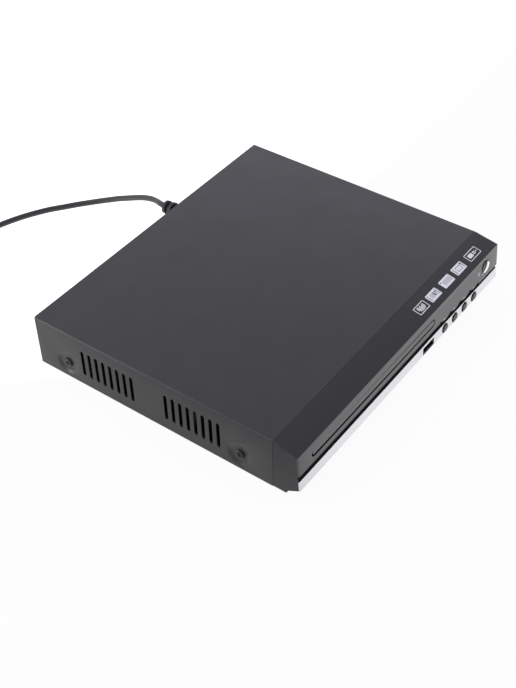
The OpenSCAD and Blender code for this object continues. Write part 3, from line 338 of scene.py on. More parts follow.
def joined(name, pieces):
    """Several bodies in one mesh."""
    drop_all()
    for piece in pieces:
        piece.select_set(True)
    bpy.context.view_layer.objects.active = pieces[0]
    if len(pieces) > 1:
        bpy.ops.object.join()
    pieces[0].name = name
    return pieces[0]


def soften(obj, width, steps=2, angle=35):
    """A narrow bevel on every edge sharper than the angle, with flat faces left flat."""
    hold(obj)
    bpy.ops.object.shade_smooth()
    return applied(obj, "BEVEL", width=width, segments=steps, limit_method="ANGLE",
                   angle_limit=math.radians(angle), harden_normals=True, use_clamp_overlap=True,
                   miter_outer="MITER_ARC")


def smooth(obj, angle=30):
    """Smooth shading, except over edges sharper than the angle."""
    hold(obj)
    bpy.ops.object.shade_smooth_by_angle(angle=math.radians(angle))
    return obj


def copies(obj, moves):
    """obj again at each move, every copy with its own mesh, all in one mesh with obj."""
    made = [obj]
    for move in moves:
        hold(obj)
        bpy.ops.object.duplicate(linked=False)
        made.append(moved(bpy.context.object, move))
    return joined(obj.name, made)


print("cutting helpers ready")

# %% [markdown]
# ## Finishes
# A finish could be one flat colour, but satin paint, moulded plastic and rubber are told apart by
# their fine texture. Each finish here starts from one Principled shader, to which a fine bump, a
# faint patchiness of the roughness and a little change of colour are added, all on Object
# coordinates at their real scale. What is the same all over is set on the shader itself.


# %% Node helpers
def wired(tree, kind, values=None, feeds=None, **settings):
    """A new shader node: its settings, its fixed inputs, and the sockets that feed it."""
    made = tree.nodes.new("ShaderNode" + kind)
    for key, value in settings.items():
        setattr(made, key, value)
    for key, value in (values or {}).items():
        made.inputs[key].default_value = value
    for key, source in (feeds or {}).items():
        tree.links.new(source, made.inputs[key])
    return made


def ramp(tree, source, low, high, at_low, at_high):
    """Goes from at_low to at_high while the source goes from low to high, and stops there."""
    span = {"From Min": low, "From Max": high, "To Min": at_low, "To Max": at_high}
    return wired(tree, "MapRange", span, {"Value": source}).outputs["Result"]


print("node helpers ready")

# %% Finish helper
NOISE_LOW, NOISE_HIGH = 0.3, 0.7
finishes = {}


def finish(name, colour, rough, grain, patch, shade, metal=0.0, specular=0.5, ior=1.5,
           coat=(0.0, 0.03), stretch=(1, 1, 1)):
    """A procedural finish, with its lengths in millimetres.

    grain is the height and size of the bump, patch is how far the roughness wanders and over
    what length, shade is the share by which the colour wanders, coat is its weight and
    roughness."""
    mat = bpy.data.materials.new(name)
    mat.use_nodes = True
    tree = mat.node_tree
    shader = tree.nodes["Principled BSDF"]
    plain = {"Base Color": (*colour, 1), "Roughness": rough, "Metallic": metal, "IOR": ior,
             "Specular IOR Level": specular}
    if coat[0]:
        plain.update({"Coat Weight": coat[0], "Coat Roughness": coat[1]})
    for key, value in plain.items():
        shader.inputs[key].default_value = value
    where = wired(tree, "TexCoord").outputs["Object"]
    if stretch != (1, 1, 1):
        where = wired(tree, "Mapping", {"Scale": stretch}, {"Vector": where}).outputs["Vector"]

    def noise(size, detail, roughness=0.55):
        values = {"Scale": 1 / (size * MM), "Detail": detail, "Roughness": roughness}
        return wired(tree, "TexNoise", values, {"Vector": where}).outputs["Fac"]

    def wander(source, low, high):
        return ramp(tree, source, NOISE_LOW, NOISE_HIGH, low, high)

    if patch[0]:
        tree.links.new(wander(noise(patch[1], 5.0), max(0.02, rough - patch[0]), rough + patch[0]),
                       shader.inputs["Roughness"])
    if shade:
        ends = {"A": (*[c * (1 - shade) for c in colour], 1),
                "B": (*[min(1, c * (1 + shade)) for c in colour], 1)}
        share = wander(noise(patch[1] * 0.6, 6.0, 0.65), 0, 1)
        blend = wired(tree, "Mix", ends, {"Factor": share}, data_type="RGBA")
        tree.links.new(blend.outputs["Result"], shader.inputs["Base Color"])
    bump = wired(tree, "Bump", {"Strength": 1.0, "Distance": grain[0] * MM},
                 {"Height": noise(grain[1], 2.0)})
    tree.links.new(bump.outputs["Normal"], shader.inputs["Normal"])
    finishes[name] = mat


print("finish helper ready")

# %% Finishes of the player
finish("cover_paint", (0.0200, 0.0196, 0.0212), 0.40, (0.010, 0.45), (0.05, 35), 0.12)
finish("bezel_black", (0.011, 0.0107, 0.0128), 0.42, (0.008, 0.30), (0.04, 25), 0.10)
finish("gloss_black", (0.024, 0.024, 0.028), 0.06, (0.0006, 9), (0.02, 18), 0.05, ior=1.70)
finish("silver_paint", (0.85, 0.845, 0.86), 0.34, (0.0012, 0.12), (0.03, 14), 0.015, metal=0.75)
finish("button_grey", (0.020, 0.020, 0.022), 0.30, (0.001, 0.5), (0.04, 4), 0.10, specular=0.28)
finish("polished_cap", (0.92, 0.92, 0.93), 0.07, (0.0006, 1.2), (0.03, 6), 0, metal=1.0)
finish("ink_white", (0.78, 0.81, 0.82), 0.55, (0.002, 0.2), (0, 30), 0.04)
finish("ink_bright", (0.85, 0.86, 0.88), 0.5, (0.002, 0.2), (0, 30), 0.03)
finish("ink_dark", (0.030, 0.030, 0.034), 0.5, (0.002, 0.2), (0, 30), 0.08)
finish("zinc_sheet", (0.50, 0.51, 0.52), 0.34, (0.004, 1.2), (0.08, 9), 0.10, metal=1.0)
finish("screw_black", (0.030, 0.030, 0.034), 0.32, (0.003, 0.3), (0.08, 2), 0.15, metal=0.55)
finish("foot_rubber", (0.016, 0.016, 0.017), 0.75, (0.012, 0.35), (0.06, 5), 0.15)
finish("flex_black", (0.022, 0.022, 0.024), 0.38, (0.010, 0.8), (0.07, 14), 0.12)
finish("nickel", (0.62, 0.61, 0.59), 0.20, (0.002, 0.4), (0.06, 3), 0.05, metal=1.0)
finish("black_plastic", (0.024, 0.024, 0.026), 0.48, (0.006, 0.35), (0.05, 12), 0.10)
finish("tray_black", (0.022, 0.022, 0.024), 0.40, (0.006, 0.30), (0.04, 20), 0.08)
finish("white_plastic", (0.74, 0.73, 0.68), 0.40, (0.003, 0.6), (0.04, 6), 0.03)
finish("tie_white", (0.74, 0.74, 0.72), 0.45, (0.004, 0.5), (0.05, 3), 0.04)
# A near-black matt finish that paints shade into gaps and recesses; on the USB tongue it is also
# the tongue's own black plastic.
finish("painted_shade_black", (0.004, 0.004, 0.005), 0.85, (0.004, 0.3), (0.04, 4), 0.1, specular=0.12)
finish("boot_black", (0.012, 0.012, 0.013), 0.5, (0.010, 0.5), (0.06, 5), 0.12)
# Metal painted nearly black, standing for the shade it lies in: painted shade.
finish("painted_shade_metal", (0.020, 0.020, 0.022), 0.5, (0.003, 0.5), (0.08, 3), 0.15, metal=1.0)
finish("zinc_screw", (0.55, 0.56, 0.58), 0.30, (0.003, 0.3), (0.08, 2), 0.12, metal=1.0)
finish("brass", (0.70, 0.50, 0.22), 0.28, (0.002, 0.3), (0.06, 2), 0.10, metal=1.0)
finish("ink_grey", (0.24, 0.25, 0.28), 0.5, (0.002, 0.2), (0, 30), 0.08)
finish("board_green", (0.020, 0.105, 0.045), 0.35, (0.006, 0.8), (0.08, 3), 0.25, coat=(0.3, 0.2))
finish("board_tan", (0.36, 0.22, 0.09), 0.45, (0.006, 0.8), (0.08, 4), 0.18)
finish("chip_black", (0.016, 0.016, 0.017), 0.55, (0.006, 0.2), (0.05, 3), 0.15)
finish("capacitor_sleeve", (0.020, 0.024, 0.085), 0.30, (0.003, 0.6), (0.05, 4), 0.12)
finish("transformer_tape", (0.62, 0.42, 0.05), 0.38, (0.008, 0.9), (0.07, 5), 0.12)
finish("ribbon_white", (0.66, 0.66, 0.64), 0.42, (0.010, 1.0), (0.05, 6), 0.08, stretch=(6, 1, 1))
finish("wire_brown", (0.14, 0.045, 0.02), 0.36, (0.003, 0.5), (0.05, 4), 0.12)
finish("cast_metal", (0.44, 0.45, 0.47), 0.42, (0.02, 0.5), (0.08, 3), 0.14, metal=1.0)
finish("lens_glass", (0.05, 0.12, 0.22), 0.05, (0.0004, 1.0), (0.02, 2), 0.05, coat=(0.6, 0.03))
finish("insert_yellow", (0.72, 0.48, 0.02), 0.38, (0.003, 0.4), (0.05, 3), 0.06)
finish("insert_white", (0.70, 0.70, 0.67), 0.38, (0.003, 0.4), (0.05, 3), 0.05)
finish("insert_red", (0.52, 0.022, 0.016), 0.38, (0.003, 0.4), (0.05, 3), 0.08)
finish("insert_orange", (0.70, 0.17, 0.015), 0.38, (0.003, 0.4), (0.05, 3), 0.08)
print(len(finishes), "finishes")

# %% [markdown]
# ## Setting down
# A shaped piece could be left where and as large as it was drawn, but the frame is in metres and
# stands elsewhere. So each piece is set down in one step, which also gives it its finish and the
# body it rides on.

# %% Setting down
made_pieces = []


def set_down(obj, name, surface, body, replaces=()):
    """Shrinks a shaped piece to metres at its place, and gives it its finish and body."""
    obj.scale = (MM, MM, MM)
    moved(obj, (0, SEAM, UNDERSIDE))
    obj.name = obj.data.name = name
    obj.data.materials.clear()
    obj.data.materials.append(finishes[surface])
    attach(obj, body)
    if replaces:
        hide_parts(*replaces)
    made_pieces.append(obj)
    print("made", name, len(obj.data.polygons), "faces")
    return obj


print("ready to set pieces down")

# %% [markdown]
# ## Mains cord
# The cord is one length of round black flex. It leaves the ribbed relief straight, falls to the
# table in a loose S, and runs off to the left. What is left of it is wound up in a flat coil, two
# layers deep, for storage. It could be a swept mesh, but a curve with a round section keeps its
# centreline, so it is drawn as one Bezier line through its stops.

# %% Route of the cord
CORD_R = 2.1
REAR = 177.2
EXIT_X, EXIT_Z = 36.0, 20.0
TAIL = 20.8
FLOOR_Z = CORD_R - UNDERSIDE / MM
# A stop is its way right of the exit, its way behind the panel and its share of the exit's height.
stops = [(0, TAIL, 1), (0, 21.8, 1), (0.8, 26, 0.98), (3, 31.6, 0.915), (4.3, 37, 0.85),
         (5, 43, 0.76), (4.9, 49, 0.66), (4.2, 54.6, 0.56), (3, 61, 0.45), (1.3, 67, 0.36),
         (-1.2, 73, 0.27), (-4.5, 79.8, 0.175), (-8.8, 86.8, 0.09), (-14.7, 93.9, 0.035),
         (-21.4, 100.3, 0), (-29, 106.3, 0), (-36.7, 111.2, 0), (-43.7, 115.1, 0),
         (-51.1, 118.6, 0), (-57.7, 121.3, 0), (-63.8, 123.5, 0), (-70.7, 125.6, 0),
         (-77.5, 127.2, 0), (-85, 128.2, 0), (-93, 128.7, 0), (-101, 128.8, 0),
         (-112, 128.7, 0), (-123, 128.6, 0)]
route = [(EXIT_X + x, REAR + y, FLOOR_Z + share * (EXIT_Z - FLOOR_Z)) for x, y, share in stops]

COIL_X, COIL_Y = EXIT_X - 132, REAR + 99
LAYER = 2 * CORD_R
COIL_MEAN, COIL_TURNS = 23.2, 4
RADII = [COIL_MEAN + (i - 1.5) * LAYER for i in range(COIL_TURNS)]
STEPS_IN, STEPS_OUT, STEP_LONG = (320, 680, 1040), (1610, 1970, 2330), 130
CLIMB, CLIMB_LONG = 1290, 180


def eased(t):
    """Goes from 0 to 1 with a soft start and a soft end."""
    t = max(0.0, min(1.0, t))
    return t * t * (3 - 2 * t)


def coil_point(angle):
    """The coil at an angle in degrees: inwards on the table, up at the middle, outwards on top."""
    radius = RADII[-1]
    for start in STEPS_IN:
        radius -= LAYER * eased((angle - start) / STEP_LONG)
    for start in STEPS_OUT:
        radius += LAYER * eased((angle - start) / STEP_LONG)
    lift = LAYER * eased((angle - CLIMB) / CLIMB_LONG)
    a = math.radians(angle)
    return (COIL_X + radius * math.cos(a), COIL_Y + radius * math.sin(a), FLOOR_Z + lift)


COIL_START, COIL_STEP, COIL_STOPS = 90, 15, 169
route += [coil_point(COIL_START + COIL_STEP * i) for i in range(COIL_STOPS)]
PLUG_H = 13
TOP_Z, PLUG_Z = FLOOR_Z + LAYER, PLUG_H / 2 - UNDERSIDE / MM
tail_y = REAR + 128.5
tail_end = (EXIT_X - 153, tail_y, PLUG_Z)
route += [(EXIT_X - 139, tail_y, TOP_Z), (EXIT_X - 145, tail_y, (TOP_Z + PLUG_Z) / 2),
          (EXIT_X - 151, tail_y, PLUG_Z), tail_end]
print("cord has", len(route), "stops")

# %% Cord
drop_all()
bpy.ops.curve.primitive_bezier_curve_add()
cord = bpy.context.object
line = cord.data
line.splines.clear()
spline = line.splines.new("BEZIER")
spline.bezier_points.add(len(route) - 1)
for knot, (x, y, z) in zip(spline.bezier_points, route):
    knot.co = placed(x, y, z)
    knot.handle_left_type = knot.handle_right_type = "AUTO"
line.resolution_u = 4
line.bevel_depth = CORD_R * MM
line.bevel_resolution = 4
line.use_fill_caps = True
cord.name = line.name = "power_cord"
line.materials.append(finishes["flex_black"])
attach(cord, "case")
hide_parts("mains_cord", "cord_coil", "plug_tail")

# %% [markdown]
# ## Plug and tie
# The plug is a flat two-pin moulding: a tapered collar where the cord goes in, a waist to hold it
# by, and a wider head with two round pins. It could be bridged between rings, but here the head's
# flat face is drawn out again and again towards the cord, and resized at each station. The tie is
# a band of soft white plastic round one side of the coil.


# %% Plug
def drawn_out(name, first, corner, stations):
    """A rounded slab whose end face is drawn out along X and resized at each station.

    A station is (x, half width, half height); first holds the slab's two x, width and height."""
    x0, x1, wide, high = first
    obj = block(name, (min(x0, x1), -wide, -high), (max(x0, x1), wide, high))
    round_edges(obj, along(X, CLOSE), corner, 7)
    pick(obj, "FACE", lambda c, n: n.x > 0.9)
    for x, w, h in stations:
        bpy.ops.mesh.extrude_region_move(TRANSFORM_OT_translate={"value": (x - x1, 0, 0)})
        bpy.ops.transform.resize(value=(1, w / wide, h / high), center_override=(x, 0, 0))
        x1, wide, high = x, w, h
    bpy.ops.object.mode_set(mode="OBJECT")
    return closed(obj)


PLUG_L, PIN_APART = 36, 18.5
plug = drawn_out("plug", (-PLUG_L, -35.2, 16.4, 5.6), 5.2,
                 [(-34.6, 17.1, 6.2), (-33, 17.48, 6.5), (-27, 17.2, 6.5), (-24, 15.8, 6.45),
                  (-21.4, 12, 6.3), (-19, 9.2, 6), (-15, 8.8, 5.9), (-13, 7.6, 5.3),
                  (-11, 4.9, 4.5), (-6, 3.6, 3.6), (0, 2.7, 2.7)])
moved(plug, tail_end)
grip = block("grip", (tail_end[0] - 14.9, tail_y - 9.5, PLUG_Z - 4),
             (tail_end[0] - 14.3, tail_y - 7.9, PLUG_Z + 4))
cut(plug, copies(grip, [(-1.5 * i, side * 17.4, 0) for i in range(5) for side in (0, 1)
                        if i or side]))
smooth(plug, 35)
plug = set_down(plug, "plug_body", "flex_black", "case", ("mains_plug",))

pin_profile = [(0, 0), (2, 0), (2, 10), (1.95, 10.2), (1.95, 17.6), (1.7, 18.5), (1.2, 18.96),
               (0, 18.96)]
pins = [moved(mirrored(spun("pin", pin_profile, (0, 0, 0), "X", 24)),
              (tail_end[0] - PLUG_L, tail_y + side * PIN_APART / 2, PLUG_Z)) for side in (-1, 1)]
pins = smooth(joined("pins", pins), 30)
pins = set_down(pins, "plug_prongs", "nickel", "case", ("plug_pins",))

# %% Tie
tie_low, tie_high = RADII[0] - CORD_R, RADII[-1] + CORD_R
TIE_HALF, TIE_T, SLACK = 3, 1.2, 0.2
tie = block("tie", (COIL_X - TIE_HALF, COIL_Y - tie_high - TIE_T, FLOOR_Z - CORD_R),
            (COIL_X + TIE_HALF, COIL_Y - tie_low + TIE_T, FLOOR_Z + CORD_R + LAYER + TIE_T))
round_edges(tie, along(X, 5), 1.6, 5)
hole = block("hole", (COIL_X - TIE_HALF - 1, COIL_Y - tie_high - SLACK, FLOOR_Z - CORD_R + 0.25),
             (COIL_X + TIE_HALF + 1, COIL_Y - tie_low + SLACK, FLOOR_Z + CORD_R + LAYER + SLACK))
round_edges(hole, along(X, 5), 1.2, 5)
cut(tie, hole)
soften(tie, 0.25, 2, 50)
tie = set_down(tie, "tie_band", "tie_white", "case", ("cord_tie",))

# %% [markdown]
# ## Cover
# The cover is one sheet of 0.8 mm steel, folded down over both sides and painted satin black. The
# blank is a cube with its bottom and both ends taken off and its two long top edges bevelled to
# the bend's radius; Solidify gives it its thickness inwards. The seats of the side screws are
# dished with a spun tool, and the vents are cut with sixteen slots in one go.

# %% Cover
W, D, H, SHEET, BEND = 224.96, 177.5, 36.8, 0.8, 1.2
SEAM_FRONT, SEAM_REAR = 0.60, 0.80
cover = block("cover", (-W / 2, SEAM_REAR, 0), (W / 2, D, H))
pick(cover, "FACE", lambda c, n: n.z < -0.5 or abs(n.y) > 0.5)
bpy.ops.mesh.delete(type="FACE")
bpy.ops.object.mode_set(mode="OBJECT")
round_edges(cover, lambda a, b: abs(a.y - b.y) > 100 and a.z > 30, BEND, 6)
applied(cover, "SOLIDIFY", thickness=SHEET, offset=-1, use_even_offset=True)

DIMPLE_R, SEAT_R, DIMPLE, FLARE, DISH_STEPS = 8.8, 5.1, 1.3, 0.3, 8
SCREWS = (24.2, D - 22.8)
SCREW_Z = 10.6


def dish(y, side):
    """The dished seat of a side screw as a spun tool, its rim eased so that the paint flows in."""
    profile = [(0, -DIMPLE)]
    profile += [(SEAT_R + (DIMPLE_R - SEAT_R) * i / DISH_STEPS,
                 -DIMPLE * (1 - eased(i / DISH_STEPS))) for i in range(DISH_STEPS + 1)]
    profile += [(DIMPLE_R, 3.0), (0, 3.0)]
    return on_side(spun("dish", profile, (W / 2, y, SCREW_Z), "X", 64), side)


for side in (-1, 1):
    for y in SCREWS:
        boss = spun("boss", [(0, -DIMPLE - SHEET), (SEAT_R + FLARE, -DIMPLE - SHEET),
                             (DIMPLE_R + FLARE, -SHEET - 0.02), (DIMPLE_R + FLARE, -SHEET / 2),
                             (0, -SHEET / 2)], (W / 2, y, SCREW_Z), "X", 64)
        add(cover, on_side(boss, side))
        cut(cover, dish(y, side),
            bar("hole", (side * (W / 2 - 1), y, SCREW_Z), 1.7, 6, "X", 24))

VENT_W, VENT_LOW, VENT_HIGH, VENT_PITCH, VENT_MIDDLES = 2.5, 8.4, 27.8, 5.45, (57.6, 121.4)
slot = block("slot", (-W, -VENT_W / 2, VENT_LOW), (W, VENT_W / 2, VENT_HIGH))
round_edges(slot, along(X, W), VENT_W / 2 * FULL_ROUND, 6)
closed(slot)
places = [middle + (i - 3.5) * VENT_PITCH for middle in VENT_MIDDLES for i in range(8)]
moved(slot, (0, places[0], 0))
copies(slot, [(0, y - places[0], 0) for y in places[1:]])
cut(cover, slot)
soften(cover, 0.14, 2, 40)
set_down(cover, "cover_shell", "cover_paint", "case", ("top_cover",))

# %% [markdown]
# ## Side screws
# Black pan-head screws with a cross recess hold the cover. The head is spun, the recess is cut with
# two crossed wedges, and one screw is made for each of its four places.


# %% Side screws
def cross_screw(name, x, y, z, side, reach=6.0, head_r=3.2, head_h=1.3, shank_r=1.45):
    """A pan-head screw along X whose head looks to the given side."""
    head = spun(name, [(0, -reach), (shank_r * 0.7, -reach), (shank_r, -reach + 0.8), (shank_r, 0),
                       (head_r * 0.97, 0), (head_r, 0.18), (head_r * 0.985, head_h * 0.42),
                       (head_r * 0.90, head_h * 0.72), (head_r * 0.72, head_h * 0.93),
                       (head_r * 0.45, head_h), (0, head_h)], (0, 0, 0), "X", 40)
    for turn in (0, 1):
        size = (0.32, head_r * 0.5) if turn else (head_r * 0.5, 0.32)
        arm = block("arm", (head_h * 0.25, -size[0], -size[1]), (head_h + 1, size[0], size[1]))
        cut(head, arm)
    soften(head, 0.07, 2, 45)
    return moved(on_side(head, side), (x, y, z))


side_screws = [cross_screw("screw", side * (W / 2 - DIMPLE), y, SCREW_Z, side)
               for side in (-1, 1) for y in SCREWS]
set_down(joined("screws", side_screws), "side_screws", "screw_black", "case",
         ("cover_screws",))

# %% [markdown]
# ## Bezel
# The bezel is a black moulding whose top falls towards the front; below the face it is cut back
# in two chamfers. Its outline is pulled along the width, and the two ends of its top are rounded
# to carry on the cover's bend. A second, smaller outline hollows it, and the openings for tray,
# buttons and sockets are cut through. It ends a little short of the cover, which leaves the fine
# dark seam between them.

# %% Front face sizes
BEZEL_D, DROP, LEAN = 15.9, 3.4, 1.3
FACE_TOP, FASCIA_LOW, FASCIA_T, LIP = H - DROP, 16.6, 1.0, 0.12
FASCIA_TOP = FACE_TOP - LIP
STRIP_LOW, STRIP_HIGH, STRIP_LEAN = 7.4, 14.7, 0.55
WALL = 2.0


def face_y(z):
    """Where the leaned front face is at a height."""
    return -BEZEL_D - LEAN * (FACE_TOP - z) / (FACE_TOP - FASCIA_LOW)


def skin_y(z):
    """Where the bezel lies behind the fascia at a height."""
    return face_y(z) + FASCIA_T


STRIP_Y = face_y(FASCIA_LOW)
FRONT_Y = STRIP_Y - STRIP_LEAN
LIP_REAR = STRIP_Y + 0.34
LOADER_X, SLOT_X, SLOT_Z, SLOT_W, SLOT_H = -33.7, -33.35, 25.33, 132.9, 5.65
BUTTON_PITCH = 12.2
BUTTONS = [46.2 + BUTTON_PITCH * i for i in range(4)]
BUTTON_STEPS = [(x - BUTTONS[0], 0, 0) for x in BUTTONS[1:]]
BUTTON_Z, BUTTON_R, BUTTON_GAP = 10.9, 3.05, 0.15
RING_R, RING_SHIFT, FASCIA_RIGHT = 3.5, -0.35, 17.2
POWER_X, POWER_Z, POWER_R, POWER_GAP = 97.2, 25.0, 4.45, 0.3
USB_X, USB_Z, WINDOW_HALF, WINDOW_DOWN, WINDOW_UP = 25.9, 10.6, 6.6, 2.75, 2.6
BOARD_TOP = BUTTON_Z - 3.2
print("the face leans", round(STRIP_Y + BEZEL_D, 2), "mm")

# %% Bezel
BEZEL_LOW, HEEL_Y, KNEE_Y, KNEE_Z = 0.4, -8.3, -9.6, 3
bezel = pulled("bezel", [(SEAM_FRONT, BEZEL_LOW), (HEEL_Y, BEZEL_LOW), (KNEE_Y, KNEE_Z),
                         (skin_y(STRIP_LOW), STRIP_LOW),
                         (skin_y(FASCIA_TOP), FASCIA_TOP), (-BEZEL_D, FASCIA_TOP),
                         (-BEZEL_D, FACE_TOP), (0, H), (SEAM_FRONT, H)], -W / 2, W / 2)
round_edges(bezel, lambda a, b: (abs(abs(a.x) - W / 2) < CLOSE and abs(a.x - b.x) < CLOSE
                                 and min(a.z, b.z) > FASCIA_TOP + LIP / 2
                                 and abs(a.y - b.y) > 0.3), BEND, 6)
closed(bezel)
cut(bezel, pulled("hollow", [(1, BEZEL_LOW + WALL), (HEEL_Y + 1, BEZEL_LOW + WALL),
                             (KNEE_Y + 1.2, KNEE_Z + WALL),
                             (skin_y(STRIP_LOW) + WALL, STRIP_LOW + 1.6),
                             (skin_y(FASCIA_TOP) + WALL, FACE_TOP - WALL), (1, H - WALL)],
                  -W / 2 + WALL, W / 2 - WALL))
hole = bar("hole", (BUTTONS[0], -15, BUTTON_Z), BUTTON_R + BUTTON_GAP, 8, "Y", 40)
cut(bezel, copies(hole, BUTTON_STEPS),
    bar("hole", (POWER_X, -15, POWER_Z), POWER_R + POWER_GAP, 9, "Y", 64),
    slot_blank("hole", SLOT_X, SLOT_Z, SLOT_W, SLOT_H, -25, -10),
    block("hole", (USB_X - WINDOW_HALF - 0.1, -25, BOARD_TOP - 0.1),
          (USB_X + WINDOW_HALF + 0.1, -11, USB_Z + WINDOW_UP + 0.25)))
TUCK_IN, TUCK_OUT = 2.4, 1
tuck = block("tuck", (-W / 2 + TUCK_OUT, -0.6, 4), (W / 2 - TUCK_OUT, 3.4, H - TUCK_OUT))
cut(tuck, block("room", (-W / 2 + TUCK_IN, -2, 3), (W / 2 - TUCK_IN, 5, H - TUCK_IN)))
add(bezel, tuck)
tongue = block("tongue", (-95, -3, 0.85), (-81, 13, 2.6))
add(bezel, copies(tongue, [(88, 0, 0), (176, 0, 0)]))
soften(bezel, 0.22, 3, 32)
set_down(bezel, "bezel_shell", "bezel_black", "case", ("front_bezel",))

# %% [markdown]
# ## Fascia
# The gloss fascia is a thin injection-moulded plate. It leans with the face, hangs down in round
# lobes over the buttons, and is pierced for the tray and the power button. A slab is leaned by
# moving its upper and lower edge. One scalloped tool cuts its lower outline and leaves the lobes,
# and two blocks raise the edge on either side of them.

# %% Fascia
fascia = block("fascia", (-W / 2, -BEZEL_D - LEAN * 0.5, FASCIA_LOW),
               (W / 2, -BEZEL_D - LEAN * 0.5 + FASCIA_T, FASCIA_TOP))
for z in (FASCIA_LOW, FASCIA_TOP):
    pick(fascia, "VERT", lambda co: abs(co.z - z) < CLOSE)
    bpy.ops.transform.translate(value=(0, face_y(z) + BEZEL_D + LEAN * 0.5, 0))
    bpy.ops.object.mode_set(mode="OBJECT")
LOBE_R, LOBE_LOW, FASCIA_LEFT = 9.9, 17.8, 18.9
SCALLOP_LEFT, SCALLOP_W, SCALLOP_H = BUTTONS[0] - 9.76, 51.85, 3.3
scallop = block("scallop", (SCALLOP_LEFT, -25, FASCIA_LOW - 1),
                (SCALLOP_LEFT + SCALLOP_W, -5, LOBE_LOW + SCALLOP_H))
for x in [BUTTONS[0] - BUTTON_PITCH] + BUTTONS:
    cut(scallop, bar("lobe", (x, -15, LOBE_LOW + LOBE_R), LOBE_R, 40, "Y", 128))
cut(fascia, scallop, block("rise", (-W, -25, FASCIA_LOW - 1), (BUTTONS[0] - 7.7, -5, FASCIA_LEFT)),
    block("rise", (BUTTONS[3] + 5, -25, FASCIA_LOW - 1), (W, -5, FASCIA_RIGHT)),
    slot_blank("hole", SLOT_X, SLOT_Z, SLOT_W, SLOT_H, -25, -5, 12),
    bar("hole", (POWER_X, -15, POWER_Z), POWER_R + POWER_GAP, 20, "Y", 96))
round_edges(fascia, lambda a, b: abs(a.z - b.z) > 10 and abs(a.x) > 112 and min(a.y, b.y) < -15.8,
            0.9, 6)
soften(fascia, 0.16, 3, 35)
set_down(fascia, "fascia_plate", "gloss_black", "case", ("gloss_fascia",))

# %% [markdown]
# ## Silver strip
# Below a dark groove runs a strip painted silver, a little further forward at its bottom. Its top
# is only a thin lip that shines as a line. The outline is pulled along the width, its lower
# corners are rounded with a corner tool, the right one more than the left, and then the button
# holes and the USB window are cut.

# %% Silver strip
trim = pulled("trim", [(FRONT_Y, STRIP_LOW + 0.3), (STRIP_Y - 0.04, STRIP_HIGH - 0.4),
                       (STRIP_Y + 0.12, STRIP_HIGH), (LIP_REAR, STRIP_HIGH),
                       (LIP_REAR, STRIP_HIGH - 0.2), (skin_y(14.5), STRIP_HIGH - 0.2),
                       (skin_y(STRIP_LOW), STRIP_LOW), (FRONT_Y + 0.25, STRIP_LOW)],
              -W / 2, W / 2)
for side, r in ((-1, 0.4), (1, 1.7)):
    corner = block("corner", (W / 2 - r, -25, STRIP_LOW - 1), (W / 2 + 1, -10, STRIP_LOW + r))
    cut(corner, bar("round", (W / 2 - r, -17, STRIP_LOW + r), r, 30, "Y", 48))
    cut(trim, on_side(corner, side))
# The holes sit a little left of the buttons, so the painted shade of the lining shows as a dark
# crescent on each button's left.
hole = bar("hole", (BUTTONS[0] + RING_SHIFT, -15, BUTTON_Z), RING_R, 20, "Y", 64)
window = block("window", (USB_X - WINDOW_HALF, -25, USB_Z - WINDOW_DOWN),
               (USB_X + WINDOW_HALF, -5, USB_Z + WINDOW_UP))
round_edges(window, along(Y, 5), 0.25, 4)
cut(trim, copies(hole, BUTTON_STEPS), window)
round_edges(trim, lambda a, b: abs(a.z - b.z) > 3 and abs(a.x) > 112 and max(a.y, b.y) < -16.5,
            0.5, 4)
soften(trim, 0.10, 3, 32)
set_down(trim, "silver_strip", "silver_paint", "case", ("silver_trim",))

# %% [markdown]
# ## Dark gaps
# Where light falls into a narrow gap between gloss black parts, the real player shows plain black
# shade. Thin matt black linings paint that shade in: a ledge and wall in the groove, a ring round
# the tray slot and round each button. Each lining stands a few hundredths proud of what it covers.

# %% Painted shade in the gaps
LEDGE, LINED_UP_TO, PROUD = STRIP_HIGH - 0.05, 21.3, 0.04
groove = pulled("groove", [(LIP_REAR, LEDGE - 0.13), (LIP_REAR, LEDGE),
                           (skin_y(LEDGE) - PROUD, LEDGE),
                           (skin_y(LINED_UP_TO) - PROUD, LINED_UP_TO),
                           (skin_y(LINED_UP_TO) + 0.2, LINED_UP_TO),
                           (skin_y(LEDGE) + 0.2, LEDGE - 0.13)],
                -W / 2 + 0.1, W / 2 - 0.1)
cut(groove, bar("hole", (POWER_X, -15, POWER_Z), POWER_R + POWER_GAP, 12, "Y", 64))
slot_ring = slot_blank("slot_ring", SLOT_X, SLOT_Z, SLOT_W, SLOT_H, -16.0, -10.2, 12)
cut(slot_ring, slot_blank("room", SLOT_X, SLOT_Z, SLOT_W - 0.12, SLOT_H - 0.12, -20, -5, 12))
RING_Y = FRONT_Y + 1.0
rings = [cut(bar("ring", (x + RING_SHIFT, RING_Y, BUTTON_Z), RING_R + 0.05, 0.9, "Y", 64),
             bar("room", (x, RING_Y, BUTTON_Z), BUTTON_R - 0.09, 4, "Y", 64)) for x in BUTTONS]
power_ring = spun("ring", [(POWER_R + 0.16, 0), (POWER_R + POWER_GAP, 0), (POWER_R + POWER_GAP, 2),
                           (POWER_R + 0.16, 2), (POWER_R + 0.16, 0)],
                  (POWER_X, face_y(POWER_Z) + 0.35, POWER_Z), "Y", 64)
shade_lining = smooth(joined("shade_lining", [groove, slot_ring, power_ring] + rings), 30)
set_down(shade_lining, "painted_shade_lining", "painted_shade_black", "case")

# %% [markdown]
# ## Buttons
# Each function button is a small round cap with a softly rounded rim and a slightly dished top,
# on a flat flange that keeps it from falling out, with a peg that meets its switch. The cap is
# spun from half its section, and the flange is a block with round corners.

